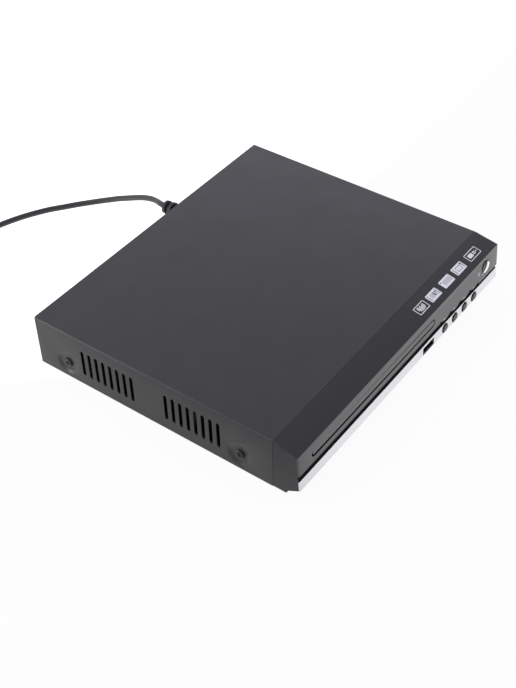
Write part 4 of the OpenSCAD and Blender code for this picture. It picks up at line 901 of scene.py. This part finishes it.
# %% Function buttons
BUTTON_FRONT = FRONT_Y - 0.6 + STRIP_LEAN / 2
FLANGE_Y = (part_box("button_1")[1].y - SEAM) / MM - 1.5
for number, x in enumerate(BUTTONS, 1):
    r = BUTTON_R - 0.12
    cap = spun("cap", [(0, 0.16), (r * 0.35, 0.13), (r * 0.62, 0.05), (r * 0.78, 0.0),
                       (r * 0.88, 0.04), (r * 0.955, 0.16), (r * 0.99, 0.36), (r, 0.6),
                       (r, FLANGE_Y - BUTTON_FRONT), (0, FLANGE_Y - BUTTON_FRONT)],
               (x, BUTTON_FRONT, BUTTON_Z), "Y", 64)
    flange = block("flange", (x - r - 1.1, FLANGE_Y, BUTTON_Z - 1.2),
                   (x + r + 1.1, FLANGE_Y + 0.8, BUTTON_Z + 4))
    round_edges(flange, along(Y, 0.5), 0.6, 3)
    peg = bar("peg", (x, FLANGE_Y + 1.15, BUTTON_Z), 1.4, 0.7, "Y", 24)
    knob = smooth(joined("knob", [cap, flange, peg]), 30)
    button = "button_%d" % number
    set_down(knob, "function_" + button, "button_grey", button, (button,))

# %% [markdown]
# ## Power button
# The power button is a round gloss black cap, very slightly dished inside a narrow rim. Polish
# shows every facet, so the section has many steps and is spun in 96. A polished crescent is let
# into its right side, and a matt black one beside it is painted shade, standing for the shade that
# the real cap's deep bowl throws. Both are thin flat discs, and two large arcs cut them to shape.

# %% Power button
POWER_FACE = face_y(POWER_Z) - 0.5
power_back = (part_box("power_button")[1].y - SEAM) / MM - POWER_FACE
DISH_R, DISH_DEPTH = 59.3, 0.12
DISH_EDGE = math.sqrt(DISH_R ** 2 - (DISH_R - DISH_DEPTH) ** 2)


def dish_line(lift, reach=DISH_EDGE, steps=10):
    """The dish's section from its middle to its edge, raised towards the front by lift."""
    return [(reach * i / steps,
             DISH_DEPTH - DISH_R + math.sqrt(DISH_R ** 2 - (reach * i / steps) ** 2) - lift)
            for i in range(steps + 1)]


section = dish_line(0) + [(POWER_R - 0.35, 0.0), (POWER_R - 0.2, 0.03), (POWER_R - 0.06, 0.14),
                          (POWER_R, 0.34), (POWER_R, power_back - 1.7),
                          (POWER_R + 1.1, power_back - 1.7), (POWER_R + 1.1, power_back - 0.9),
                          (1.8, power_back - 0.9), (1.8, power_back), (0, power_back)]
power = smooth(spun("power", section, (POWER_X, POWER_FACE, POWER_Z), "Y", 96), 40)
set_down(power, "power_cap", "gloss_black", "power_button", ("power_button",))
MOON_R, MOON_T = 4.05, 0.4
ARC = (POWER_X - 5.7, POWER_Z + 3.6)
ARC_WHITE, ARC_BLACK = 6.5, 4.6


def inlay(name, lift):
    """A thin flat disc in the dish, as wide as the rim lets it be."""
    return bar(name, (POWER_X, POWER_FACE + MOON_T / 2 - lift, POWER_Z), MOON_R, MOON_T, "Y", 128)


def arc_bar(radius):
    """A large round tool whose rim draws one side of a crescent."""
    return bar("arc", (ARC[0], POWER_FACE, ARC[1]), radius, 8, "Y", 160)


moon = cut(inlay("moon", 0.01), arc_bar(ARC_WHITE))
set_down(soften(moon, 0.04, 2, 50), "power_moon", "polished_cap", "power_button")
# The matt black crescent is painted shade.
shade = cut(inlay("shade", -0.01), arc_bar(ARC_BLACK))
combine(shade, arc_bar(ARC_WHITE), "INTERSECT")
set_down(smooth(shade, 40), "power_shade", "painted_shade_black", "power_button")

# %% [markdown]
# ## Tray door
# The door is a gloss black bar with half-round ends that fills the tray slot. On a used player it
# never sits quite level, so the slot shows a wider gap below its left end and above its right.
# The bar is a block with fully bevelled ends; a bisect leans its front with the face.

# %% Tray door
DOOR_Z, DOOR_H, DOOR_X = 25.68, 3.95, SLOT_X + 0.2
TRAY_FRONT = face_y(26.3) + 3.2
door = slot_blank("door", DOOR_X, DOOR_Z, SLOT_W - 1.3, DOOR_H, -20, TRAY_FRONT, 12)
pick(door, "VERT", lambda co: True)
bpy.ops.mesh.bisect(plane_co=(0, face_y(DOOR_Z) + 0.1, DOOR_Z), use_fill=True, clear_inner=True,
                    plane_no=(0, 1, -LEAN / (FACE_TOP - FASCIA_LOW)))
bpy.ops.object.mode_set(mode="OBJECT")
soften(door, 0.15, 3, 35)
# A matt black band round the door, set back in the slot, is painted shade in the gap.
band = slot_blank("band", DOOR_X, DOOR_Z, SLOT_W - 1.22, DOOR_H + 0.08,
                  face_y(DOOR_Z) + 0.5, TRAY_FRONT - 0.1, 12)
cut(band, slot_blank("room", DOOR_X, DOOR_Z, SLOT_W - 1.4, DOOR_H - 0.1, -25, -5, 12))
DOOR_TURN = math.radians(0.38)
for piece in (door, band):
    hold(piece)
    bpy.ops.transform.rotate(value=-DOOR_TURN, orient_axis="Y",
                             center_override=(LOADER_X, 0, DOOR_Z))
    settle(piece)
set_down(door, "door_bar", "gloss_black", "tray", ("tray_door",))
set_down(smooth(band, 30), "door_painted_shade", "painted_shade_black", "tray")

# %% [markdown]
# ## Disc tray
# The tray is a flat black moulding with a recess for a large disc, a shallower one inside it for a
# small disc, a long slot for the pickup and two notches for the fingers. Under its right edge runs
# the rack that the loading gear drives. It is cut from one slab, and the rack's tooth is shaped
# once and repeated with an Array.

# %% Disc tray
TRAY_IN, TRAY_BACK, DISC_Y = 63.0, 150.0, 52.0
TRAY_LOW, FLOOR_LOW, FLOOR_TOP, TRAY_TOP = 24.1, 25.5, 26.5, 28.0
DISC_R, SMALL_R, PICKUP_R, NOTCH_R = 60.6, 40.5, 18.0, 11.0
TRAY_LEFT, TRAY_RIGHT = LOADER_X - TRAY_IN, LOADER_X + TRAY_IN
RACK_X, TOOTH_PITCH, TOOTH_TIP, TOOTH_ROOT = LOADER_X + 59.5, math.pi, 0.8, 1.1
tray = block("tray", (TRAY_LEFT, TRAY_FRONT, FLOOR_LOW), (TRAY_RIGHT, TRAY_BACK, TRAY_TOP))
cut(tray, bar("disc", (LOADER_X, DISC_Y, FLOOR_TOP + 5), DISC_R, 10, "Z", 160),
    block("rear", (TRAY_LEFT + 4, DISC_Y + 64, FLOOR_LOW - 1),
          (TRAY_RIGHT - 4, TRAY_BACK - 3, TRAY_TOP - 1.2)))
add(tray, block("skirt", (RACK_X + TOOTH_ROOT, TRAY_FRONT, TRAY_LOW),
                (TRAY_RIGHT, TRAY_BACK, FLOOR_LOW + 0.1)),
    block("skirt", (TRAY_LEFT, TRAY_FRONT, TRAY_LOW),
          (TRAY_LEFT + 2.4, TRAY_BACK, FLOOR_LOW + 0.1)),
    block("bar", (TRAY_LEFT, TRAY_FRONT, TRAY_LOW), (TRAY_RIGHT, TRAY_FRONT + 2, TRAY_TOP)))
cut(tray, bar("small", (LOADER_X, DISC_Y, FLOOR_TOP + 4.6), SMALL_R, 10, "Z", 128),
    bar("pickup", (LOADER_X, DISC_Y, 25), PICKUP_R, 40, "Z", 96),
    block("pickup", (LOADER_X - PICKUP_R, DISC_Y, 5), (LOADER_X + PICKUP_R, TRAY_BACK + 1, 45)))
for side in (-1, 1):
    cut(tray, bar("notch", (LOADER_X + side * DISC_R, DISC_Y - 34, FLOOR_TOP + 4.6),
                  NOTCH_R, 10, "Z", 64))
soften(tray, 0.25, 3, 40)
gear_y = 16.5 - 3.5 * TOOTH_PITCH
tooth = block("tooth", (RACK_X - TOOTH_TIP, gear_y - 1.1, TRAY_LOW),
              (RACK_X + TOOTH_ROOT + 0.3, gear_y + 1.1, FLOOR_LOW))
pick(tooth, "FACE", lambda c, n: n.x < -0.5)
bpy.ops.transform.resize(value=(1, 0.39, 1), center_override=(RACK_X, gear_y, TRAY_LOW))
bpy.ops.object.mode_set(mode="OBJECT")
applied(tooth, "ARRAY", count=int((TRAY_BACK - 1 - gear_y) / TOOTH_PITCH) + 1,
        use_relative_offset=False, use_constant_offset=True,
        constant_offset_displace=(0, TOOTH_PITCH, 0))
tray = joined("tray", [tray, tooth])
set_down(tray, "tray_plate", "tray_black", "tray", ("disc_tray",))

# %% [markdown]
# ## USB socket
# The socket is a folded metal shell round a black tongue with four flat contacts. The shell is a
# block that is cut hollow, so its rim stays thin. Behind the strip it lies in the dark, so its
# metal is painted nearly black: painted shade. The tongue is black plastic, and its matt near-black
# finish also paints in the shade inside the socket.

# %% USB socket
usb_low, usb_high = packed_box("usb_socket")
shell = block("shell", usb_low, usb_high)
round_edges(shell, along(Y, 5), 0.45, 4)
room = block("room", (USB_X - 6.15, usb_low.y - 1, usb_low.z + 0.3),
             (USB_X + 6.15, usb_high.y - 0.4, usb_high.z - 0.3))
round_edges(room, along(Y, 5), 0.25, 3)
cut(shell, room)
for x in (-3.2, 3.2):
    cut(shell, block("latch", (USB_X + x - 0.9, usb_low.y + 3, usb_high.z - 1),
                     (USB_X + x + 0.9, usb_low.y + 6.5, usb_high.z + 1)))
soften(shell, 0.06, 2, 40)
set_down(shell, "usb_shell", "painted_shade_metal", "case", ("usb_socket",))
tongue = block("tongue", (USB_X - 5.6, usb_low.y + 2.6, USB_Z + 0.3),
               (USB_X + 5.6, usb_high.y - 0.5, USB_Z + 2))
rear_wall = block("rear_wall", (USB_X - 6.1, usb_high.y - 3.5, usb_low.z + 0.35),
                  (USB_X + 6.1, usb_high.y - 0.5, usb_high.z - 0.35))
tongue = soften(add(tongue, rear_wall), 0.15, 2, 40)
set_down(tongue, "usb_tongue", "painted_shade_black", "case")
contact = block("contact", (USB_X - 4.0, usb_low.y + 3.2, USB_Z + 0.22),
                (USB_X - 3.0, usb_high.y - 3.6, USB_Z + 0.34))
contacts = soften(copies(contact, [(2.2 + 2.0 * i, 0, 0) for i in range(3)]), 0.03, 1, 40)
set_down(contacts, "usb_contacts", "brass", "case")

# %% [markdown]
# ## Rear panel and sockets
# The back is a plain zinc-coated sheet with vent slots, four phono sockets and the hole for the
# mains cord, held by five zinc screws. Each phono socket is a nickel sleeve round a coloured
# insert; the colours say what belongs where. Sleeve and insert are spun.

# %% Rear panel
PHONOS, PHONO_Z, REAR_IN = [54.0 + 13.5 * i for i in range(4)], 17.5, REAR - SHEET
PANEL_HALF, FLANGE_HALF, FLANGE_D = 111.5, 107.3, 9
panel = block("panel", (-PANEL_HALF, REAR_IN, SHEET), (PANEL_HALF, REAR, H - 1.0))
round_edges(panel, lambda a, b: abs(a.y - b.y) > 0.5 and min(a.z, b.z) > 30, 1.2, 5)
add(panel, block("flange", (-FLANGE_HALF, REAR_IN - FLANGE_D, SHEET),
                 (FLANGE_HALF, REAR_IN + 0.05, 2 * SHEET)))
vent = slot_blank("vent", -92, 20, 2.4, 14, REAR_IN - 1, REAR + 1, 6)
cut(panel, copies(vent, [(9 * i, 0, 0) for i in range(1, 10)]))
ring = bar("hole", (PHONOS[0], REAR, PHONO_Z), 4.75, 4, "Y", 64)
cut(panel, copies(ring, [(x - PHONOS[0], 0, 0) for x in PHONOS[1:]]),
    bar("hole", (EXIT_X, REAR, EXIT_Z), 4.55, 4, "Y", 64))
soften(panel, 0.12, 2, 40)
set_down(panel, "rear_sheet", "zinc_sheet", "case", ("rear_panel",))

# %% Panel screws
head = spun("head", [(0, 1.1), (1.6, 1.0), (2.3, 0.7), (2.6, 0.2), (2.6, -0.1), (0, -0.1)],
            (0, REAR, 0), "Y", 32)
cut(head, block("arm", (-1.5, REAR + 0.5, -0.3), (1.5, REAR + 3, 0.3)),
    block("arm", (-0.3, REAR + 0.5, -1.5), (0.3, REAR + 3, 1.5)))
soften(head, 0.05, 2, 45)
places = [(-104, 31), (104, 31), (-104, 6), (104, 6), (74.2, 28.5)]
moved(head, (places[0][0], 0, places[0][1]))
copies(head, [(x - places[0][0], 0, z - places[0][1]) for x, z in places[1:]])
set_down(head, "panel_screws", "zinc_screw", "case")

# %% Phono sockets
SLEEVE_R, ROOT_R, OUT = 4.15, 4.4, 8.5
sleeves = [spun("sleeve", [(3.7, 0), (ROOT_R, 0), (ROOT_R, 4.8), (SLEEVE_R, 4.8),
                           (SLEEVE_R, 4.7 + OUT), (SLEEVE_R - 0.08, 4.8 + OUT), (3.78, 4.8 + OUT),
                           (3.7, 4.7 + OUT), (3.7, 0)], (x, REAR_IN - 4, PHONO_Z), "Y", 64)
           for x in PHONOS]
set_down(smooth(joined("sleeves", sleeves), 35), "phono_rings", "nickel", "case",
         ("phono_sleeves",))
INSERTS = ("insert_orange", "insert_yellow", "insert_white", "insert_red")
for number, (x, colour) in enumerate(zip(PHONOS, INSERTS), 1):
    insert = spun("insert", [(0, 2), (1.6, 2), (1.6, 11.7), (1.85, 12.1), (3.45, 12.1),
                             (3.68, 11.85), (3.68, 0), (0, 0)], (x, REAR_IN - 4, PHONO_Z), "Y", 64)
    set_down(smooth(insert, 35), "phono_core_%d" % number, colour, "case",
             ("phono_inserts",) if number == 1 else ())

# %% [markdown]
# ## Strain relief
# The relief is a soft black moulding that is clipped into the panel. Its tapering tail carries
# thick ribs with deep grooves between them, so that it bends evenly. It is spun along the cord.

# %% Strain relief
profile = [(0, -9.3), (4.0, -9.3), (4.2, -9.1), (4.2, -2.4), (6.4, -2.4), (6.4, -1.0), (4.5, -1.0),
           (4.5, 0), (6.0, 0), (6.0, 2.7), (5.7, 3.0), (4.2, 3.0)]
for i in (2, 1, 0):
    low, wide = TAIL - 2.4 - 5 * i, 4.9 + 0.4 * i
    profile += [(3.0 + 0.34 * (i + 0.5), low), (wide - 0.15, low), (wide, low + 0.2),
                (wide - 0.2, low + 2.2), (wide - 0.4, low + 2.4)]
    if i:
        profile.append((3.0 + 0.34 * i, low + 2.4))
profile += [(CORD_R + 0.1, TAIL), (0, TAIL)]
relief = smooth(spun("relief", profile, (EXIT_X, REAR, EXIT_Z), "Y", 48), 35)
set_down(relief, "relief_boot", "boot_black", "case", ("cord_relief",))

# %% [markdown]
# ## Chassis pan
# The pan closes the underside. It is a flat sheet with two rows of cooling slots. One slot is
# shaped, copied to all its places, and cut through in one go.

# %% Chassis pan
pan = block("pan", *packed_box("chassis_pan"))
vent = block("vent", (-5, 34, -1), (-2.6, 48, 2))
BOARD_LEFT = PHONOS[0] - 8
moved(vent, (BOARD_LEFT + 14 + 5, 0, 0))
cut(pan, copies(vent, [(5 * i, 24 * row, 0) for i in range(8) for row in (0, 1) if i or row]))
soften(pan, 0.12, 2, 40)
set_down(pan, "pan_sheet", "zinc_sheet", "case", ("chassis_pan",))

# %% [markdown]
# A thin black sheet lies on the pan's floor beside the loader. It is painted shade: it makes the
# vents look black from outside, as the dark inside would. It is one thin sheet with round corners.

# %% Painted shade under the vents
VENT_SHADE_LEFT, VENT_SHADE_RIGHT, VENT_SHADE_T = -109.0, -34.0, 0.25
vent_shade = block("vent_shade", (VENT_SHADE_LEFT, 6.0, SHEET), (VENT_SHADE_RIGHT, REAR_IN - 11, SHEET + VENT_SHADE_T))
round_edges(vent_shade, along(Z, 0.1), 5.0, 5)
set_down(soften(vent_shade, 0.06, 1, 40), "vent_painted_shade", "painted_shade_black", "case")

# %% [markdown]
# ## Feet
# Four rubber feet stand under the pan, each with the hollow its screw sits in. The foot is spun
# from half its section, the screw's head likewise, and both are copied to the four corners.

# %% Feet
FOOT_X, FOOT_Y = -92.3, 22
FOOT_STEPS = [(x, y, 0) for x in (0, 184.6) for y in (0, 137.2) if x or y]
foot = spun("foot", [(0, 1.6), (2.6, 1.6), (2.8, 1.4), (2.9, 0.15), (3.1, 0), (5.3, 0), (5.6, 0.12),
                     (6.35, 1.1), (6.5, 1.5), (6.5, 3), (0, 3)], (FOOT_X, FOOT_Y, -3), "Z", 48)
feet = copies(foot, FOOT_STEPS)
set_down(smooth(feet, 35), "rubber_pads", "foot_rubber", "case", ("rubber_feet",))
head = spun("head", [(0, 1.2), (0.6, 1.2), (1.9, 1.0), (2.3, 0.5), (2.3, 0), (0, 0)],
            (FOOT_X, FOOT_Y, -1.4), "Z", 32)
cut(head, block("mark", (FOOT_X - 1.3, FOOT_Y - 0.25, -1.6), (FOOT_X + 1.3, FOOT_Y + 0.25, -0.9)))
set_down(smooth(copies(head, FOOT_STEPS), 35), "pad_screws", "zinc_screw", "case")

# %% [markdown]
# ## Printed badges and marks
# Five pale badges are printed on the bezel's slope, and small marks over the buttons. Their print
# is plain: frames, bars and dots, with no words. A print has almost no height, so each part of it
# is a thin tile with rounded corners, laid on the slope or on the leaned fascia in one turn.

# %% Badges
SLOPE = math.atan2(DROP, BEZEL_D)
BADGE_FRONT, BADGE_REAR = -11.55 / math.cos(SLOPE), -5.35 / math.cos(SLOPE)
BADGE_1, BADGE_2, BADGE_3, BADGE_4, BADGE_5, BADGE_W = 23.9, 38.0, 54.0, 69.15, 85.75, 11.5
PALE, GREY, DARK, MARK = (-0.05, 0.04), (-0.02, 0.06), (-0.03, 0.07), (-0.03, 0.03)
THROUGH = (-1, 1)


def tile(x0, y0, x1, y1, layer, corner=0.0):
    """A thin tile with rounded corners; its layer gives the heights it lies between."""
    low, high = layer
    obj = block("tile", (x0, y0, low), (x1, y1, high))
    if corner:
        round_edges(obj, along(Z, (high - low) / 2), corner, 4)
    return obj


def frame_tile(x0, x1, line=0.5):
    """A badge that is only an outline."""
    return cut(tile(x0, BADGE_FRONT, x1, BADGE_REAR, PALE, 0.7),
               tile(x0 + line, BADGE_FRONT + line, x1 - line, BADGE_REAR - line, THROUGH, 0.35))


def stripe(x, margin_front, margin_rear):
    """A narrow grey bar across a badge."""
    return tile(x, BADGE_FRONT + margin_front, x + 0.4, BADGE_REAR - margin_rear, GREY)


def on_slope(obj):
    """Turns flat print onto the falling top of the bezel."""
    return moved(obj, (0, 0, H), (SLOPE, 0, 0))


middle = (BADGE_FRONT + BADGE_REAR) / 2
pale = [frame_tile(BADGE_1, 35.0), frame_tile(BADGE_5, 99.0)]
pale += [tile(x, BADGE_FRONT, x + BADGE_W, BADGE_REAR, PALE, 0.7)
         for x in (BADGE_2, BADGE_3, BADGE_4)]
waves = ((1.4, 0.6), (1.9, 0.1), (1.6, -0.3), (2.0, 0), (1.5, -0.5), (1.8, -0.1), (1.4, 0.3))
for i, (reach, shift) in enumerate(waves):
    x = 26.1 + 1.0 * i
    pale.append(tile(x, middle + shift - reach, x + 0.66, middle + shift + reach, PALE))
pale += [tile(87.8, middle - 1.5, 92.3, middle + 1.5, PALE, 0.5),
         tile(92.8, middle - 1.0, 95.7, middle - 0.25, PALE, 0.15),
         tile(92.8, middle + 0.25, 95.7, middle + 1.0, PALE, 0.15),
         tile(96.2, middle - 0.4, 97.3, middle + 0.4, PALE, 0.15)]
set_down(on_slope(joined("badges", pale)), "badge_print", "ink_white", "case")

grey = [stripe(x + 0.95 * i + 0.6, 1.5, 1.3)
        for x, bars in ((BADGE_2, range(3, 9)), (BADGE_3, range(2, 10))) for i in bars]
grey += [stripe(x + end, 0.8, 0.8) for x in (BADGE_2, BADGE_4) for end in (0.8, 1.55, 9.55, 10.3)]
grey.append(stripe(BADGE_3 + 10.2, 0.8, 0.8))
grey.append(cut(tile(BADGE_4 + 3.2, BADGE_FRONT + 1.3, BADGE_4 + 8.4, BADGE_REAR - 1.3, GREY, 0.4),
                tile(BADGE_4 + 3.7, BADGE_FRONT + 1.8, BADGE_4 + 7.9, BADGE_REAR - 1.8, THROUGH,
                     0.3)))
set_down(on_slope(joined("grey", grey)), "badge_bars", "ink_grey", "case")

dark = [bar("dot", (55.2, BADGE_REAR - 1.3, 0.02), 0.5, 0.1, "Z", 24),
        bar("dot", (75.0, middle, 0.02), 0.3, 0.1, "Z", 20),
        tile(46.0, middle + 0.7, 47.6, middle + 1.3, DARK),
        tile(44.6, middle - 1.0, 45.1, middle + 1.7, DARK),
        tile(44.6, middle - 1.0, 46.2, middle - 0.5, DARK),
        tile(78.0, BADGE_REAR - 1.9, 78.5, BADGE_REAR - 0.7, DARK),
        tile(79.0, BADGE_REAR - 2.3, 79.5, BADGE_REAR - 0.7, DARK)]
set_down(on_slope(joined("dark", dark)), "badge_dots", "ink_dark", "case")

# %% Marks on the fascia
def on_face(obj, x, z):
    """Stands flat print up on the leaned fascia at a place."""
    return moved(obj, (x, face_y(z), z),
                 (QUARTER - math.atan2(LEAN, FACE_TOP - FASCIA_LOW), 0, 0))


def wedge(x, turn):
    """A flat triangle that points right, or left with a half turn."""
    return moved(bar("wedge", (0, 0, 0), 0.62, 0.06, "Z", 3), (x, 0, 0), (0, 0, turn - QUARTER))


def dash(x, w, h, y=0.0):
    """A short straight mark about its middle."""
    return tile(x - w / 2, y - h / 2, x + w / 2, y + h / 2, MARK)


icons = [[wedge(-0.5, 0), dash(0.35, 0.28, 1.1), dash(0.85, 0.28, 1.1)], [dash(0, 1.1, 1.0)],
         [wedge(-0.5, 0), wedge(0.4, 0), dash(1.1, 0.25, 1.1)],
         [wedge(0, QUARTER), dash(0, 1.2, 0.28, -0.75)]]
marks = [on_face(joined("icon", icon), x - 1.6, 19.0) for x, icon in zip(BUTTONS, icons)]
lamp_sign = bar("sign", (0, 0, 0), 1.25, 0.06, "Z", 32)
cut(lamp_sign, bar("room", (0, 0, 0), 0.75, 1, "Z", 32),
    block("gap", (-0.35, 0.2, -1), (0.35, 3, 1)))
marks.append(on_face(joined("sign", [lamp_sign, dash(0, 0.36, 1.4, 0.85)]), 88.3, 24.5))
marks.append(on_face(dash(0, 2.4, 0.3), 95.2, 17.8))
# This pale ink dot just outside the power button's hole paints in a small bright spot on the hole's
# rim: painted highlight, not a lamp.
marks.append(on_face(bar("lamp", (0, 0, 0), 0.62, 0.1, "Z", 24), 93.6, 21.2))
set_down(joined("marks", marks), "face_marks", "ink_bright", "case")

# %% [markdown]
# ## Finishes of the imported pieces
# Boards, gears, motors and the pickup keep the shape they were packed with. Most slots bear the
# name of their finish, so each piece gets the finish of its slot; two that share a slot but not a
# material get their own.

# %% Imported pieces
by_slot = {"steel": "zinc_sheet", "rubber": "foot_rubber", "cord_black": "flex_black",
           "phono_insert": "insert_yellow", "silver_plastic": "silver_paint"}
by_node = {"turntable": "foot_rubber", "clamp_puck": "white_plastic"}
for part in frame["record"]["subparts"]:
    node, slot_name = part["node"], part["material_slot"]
    surface = by_node.get(node) or by_slot.get(slot_name, slot_name)
    frame["nodes"][node].data.materials.clear()
    frame["nodes"][node].data.materials.append(finishes[surface])
print(len(frame["nodes"]), "packed pieces have a finish")

# %% [markdown]
# ## Floor
# The player stands on a plain pale floor. A strong lamp could whiten it, but it would wash out
# the black paint as well. So the floor glows, but only for the camera and in reflections; for all
# other light it is matt, which keeps the soft shadow. What is reflected fades towards the left
# and grows towards the rear, as in a room, so a long black wall isn't one even grey.

# %% Floor
FLOOR_SIZE, FLOOR_DROP, FLOOR_PALE, GLOW_SHARE = 12, 0.0002, 0.86, 0.95
FADE_X, FADE = (-0.24, -0.06), (0.36, 1.0)
GROW_Y, GROW = (0.03, 0.14), (1.0, 1.6)


def white_floor():
    """A pale floor that reads white to the camera and in reflections, and keeps a soft shadow."""
    mat = bpy.data.materials.new("stage_white")
    mat.use_nodes = True
    tree = mat.node_tree
    tree.nodes.clear()

    def maths(way, first, second):
        return wired(tree, "Math", feeds={0: first, 1: second}, operation=way).outputs[0]

    rays = wired(tree, "LightPath").outputs
    here = wired(tree, "TexCoord").outputs["Object"]
    where = wired(tree, "SeparateXYZ", feeds={"Vector": here}).outputs
    mirrored_glow = maths("MULTIPLY", ramp(tree, where["X"], *FADE_X, *FADE),
                          ramp(tree, where["Y"], *GROW_Y, *GROW))
    glow = wired(tree, "Emission", feeds={
        "Strength": maths("MAXIMUM", mirrored_glow, rays["Is Camera Ray"])})
    matt = wired(tree, "BsdfDiffuse", {"Color": (FLOOR_PALE, FLOOR_PALE, FLOOR_PALE, 1)})
    seen = maths("MAXIMUM", maths("MAXIMUM", rays["Is Camera Ray"], rays["Is Glossy Ray"]),
                 rays["Is Transmission Ray"])
    share = wired(tree, "Math", {1: GLOW_SHARE}, {0: seen}, operation="MULTIPLY").outputs[0]
    mix = wired(tree, "MixShader", feeds={"Fac": share, 1: matt.outputs[0], 2: glow.outputs[0]})
    wired(tree, "OutputMaterial", feeds={"Surface": mix.outputs[0]})
    return mat


drop_all()
bpy.ops.mesh.primitive_plane_add(size=FLOOR_SIZE, location=(0, 0, cad_box[0][2] - FLOOR_DROP))
floor = bpy.context.object
floor.name = "floor"
floor.data.materials.append(white_floor())
print("floor laid")

# %% [markdown]
# ## Light
# The room is a plain white world at about full strength, a little brighter from the rear and from
# below than from the front and above, and very slightly cool. The camera itself sees it as pure
# white. Two weak lamps join it: a large soft one from above, and a low warm strip at the rear
# left, which lies under the level of the top so that it can't glare on it.

# %% World
SKY_LEAN, SKY_SPAN, SKY_STRENGTH = (0, 3.1, -3.4), (-0.916, -0.316), (0.70, 1.30)
COOL = (0.975, 0.955, 1.07, 1)
world = bpy.data.worlds.new("studio")
bpy.context.scene.world = world
world.use_nodes = True
sky = world.node_tree
looked_at = wired(sky, "LightPath").outputs["Is Camera Ray"]
tilt = wired(sky, "VectorMath", {1: SKY_LEAN}, {0: wired(sky, "TexCoord").outputs["Generated"]},
             operation="DOT_PRODUCT")
strength = ramp(sky, tilt.outputs["Value"], *SKY_SPAN, *SKY_STRENGTH)
plain = wired(sky, "Mix", {"B": 1.0}, {"Factor": looked_at, "A": strength})
tint = wired(sky, "Mix", {"A": COOL, "B": (1, 1, 1, 1)}, {"Factor": looked_at}, data_type="RGBA")
for socket, source in (("Strength", plain), ("Color", tint)):
    sky.links.new(source.outputs["Result"], sky.nodes["Background"].inputs[socket])
print("world lit")


# %% Lamps
def softbox(name, place, target, size, power, colour=(1, 1, 1)):
    """A rectangular lamp that looks at the player."""
    lamp = bpy.data.lights.new(name, "AREA")
    lamp.shape = "RECTANGLE"
    lamp.size, lamp.size_y = size
    lamp.energy = power
    lamp.color = colour
    obj = bpy.data.objects.new(name, lamp)
    obj.location = place
    obj.rotation_euler = (Vector(target) - Vector(place)).to_track_quat("-Z", "Y").to_euler()
    bpy.context.scene.collection.objects.link(obj)


softbox("key", (-0.6, 0.5, 1.2), (0, 0, 0), (0.7, 0.7), 2.4)
softbox("rear_left", (-0.38, 0.31, 0.018), (-0.11, 0.07, 0.018), (0.20, 0.03), 0.5,
        (1, 0.93, 0.88))
print("two lamps")

# %% [markdown]
# The Standard view transform shows each colour as it is written. The softer transforms would lift
# the blacks and turn the white floor grey.

# %% View settings
bpy.context.scene.view_settings.view_transform = "Standard"
print("colours are shown as they are written")

# %% [markdown]
# ## Pieces made
# The number of new pieces is printed. The dressed model has to stay inside the box of the imported
# one.

# %% Pieces made
print(len(made_pieces), "pieces made")
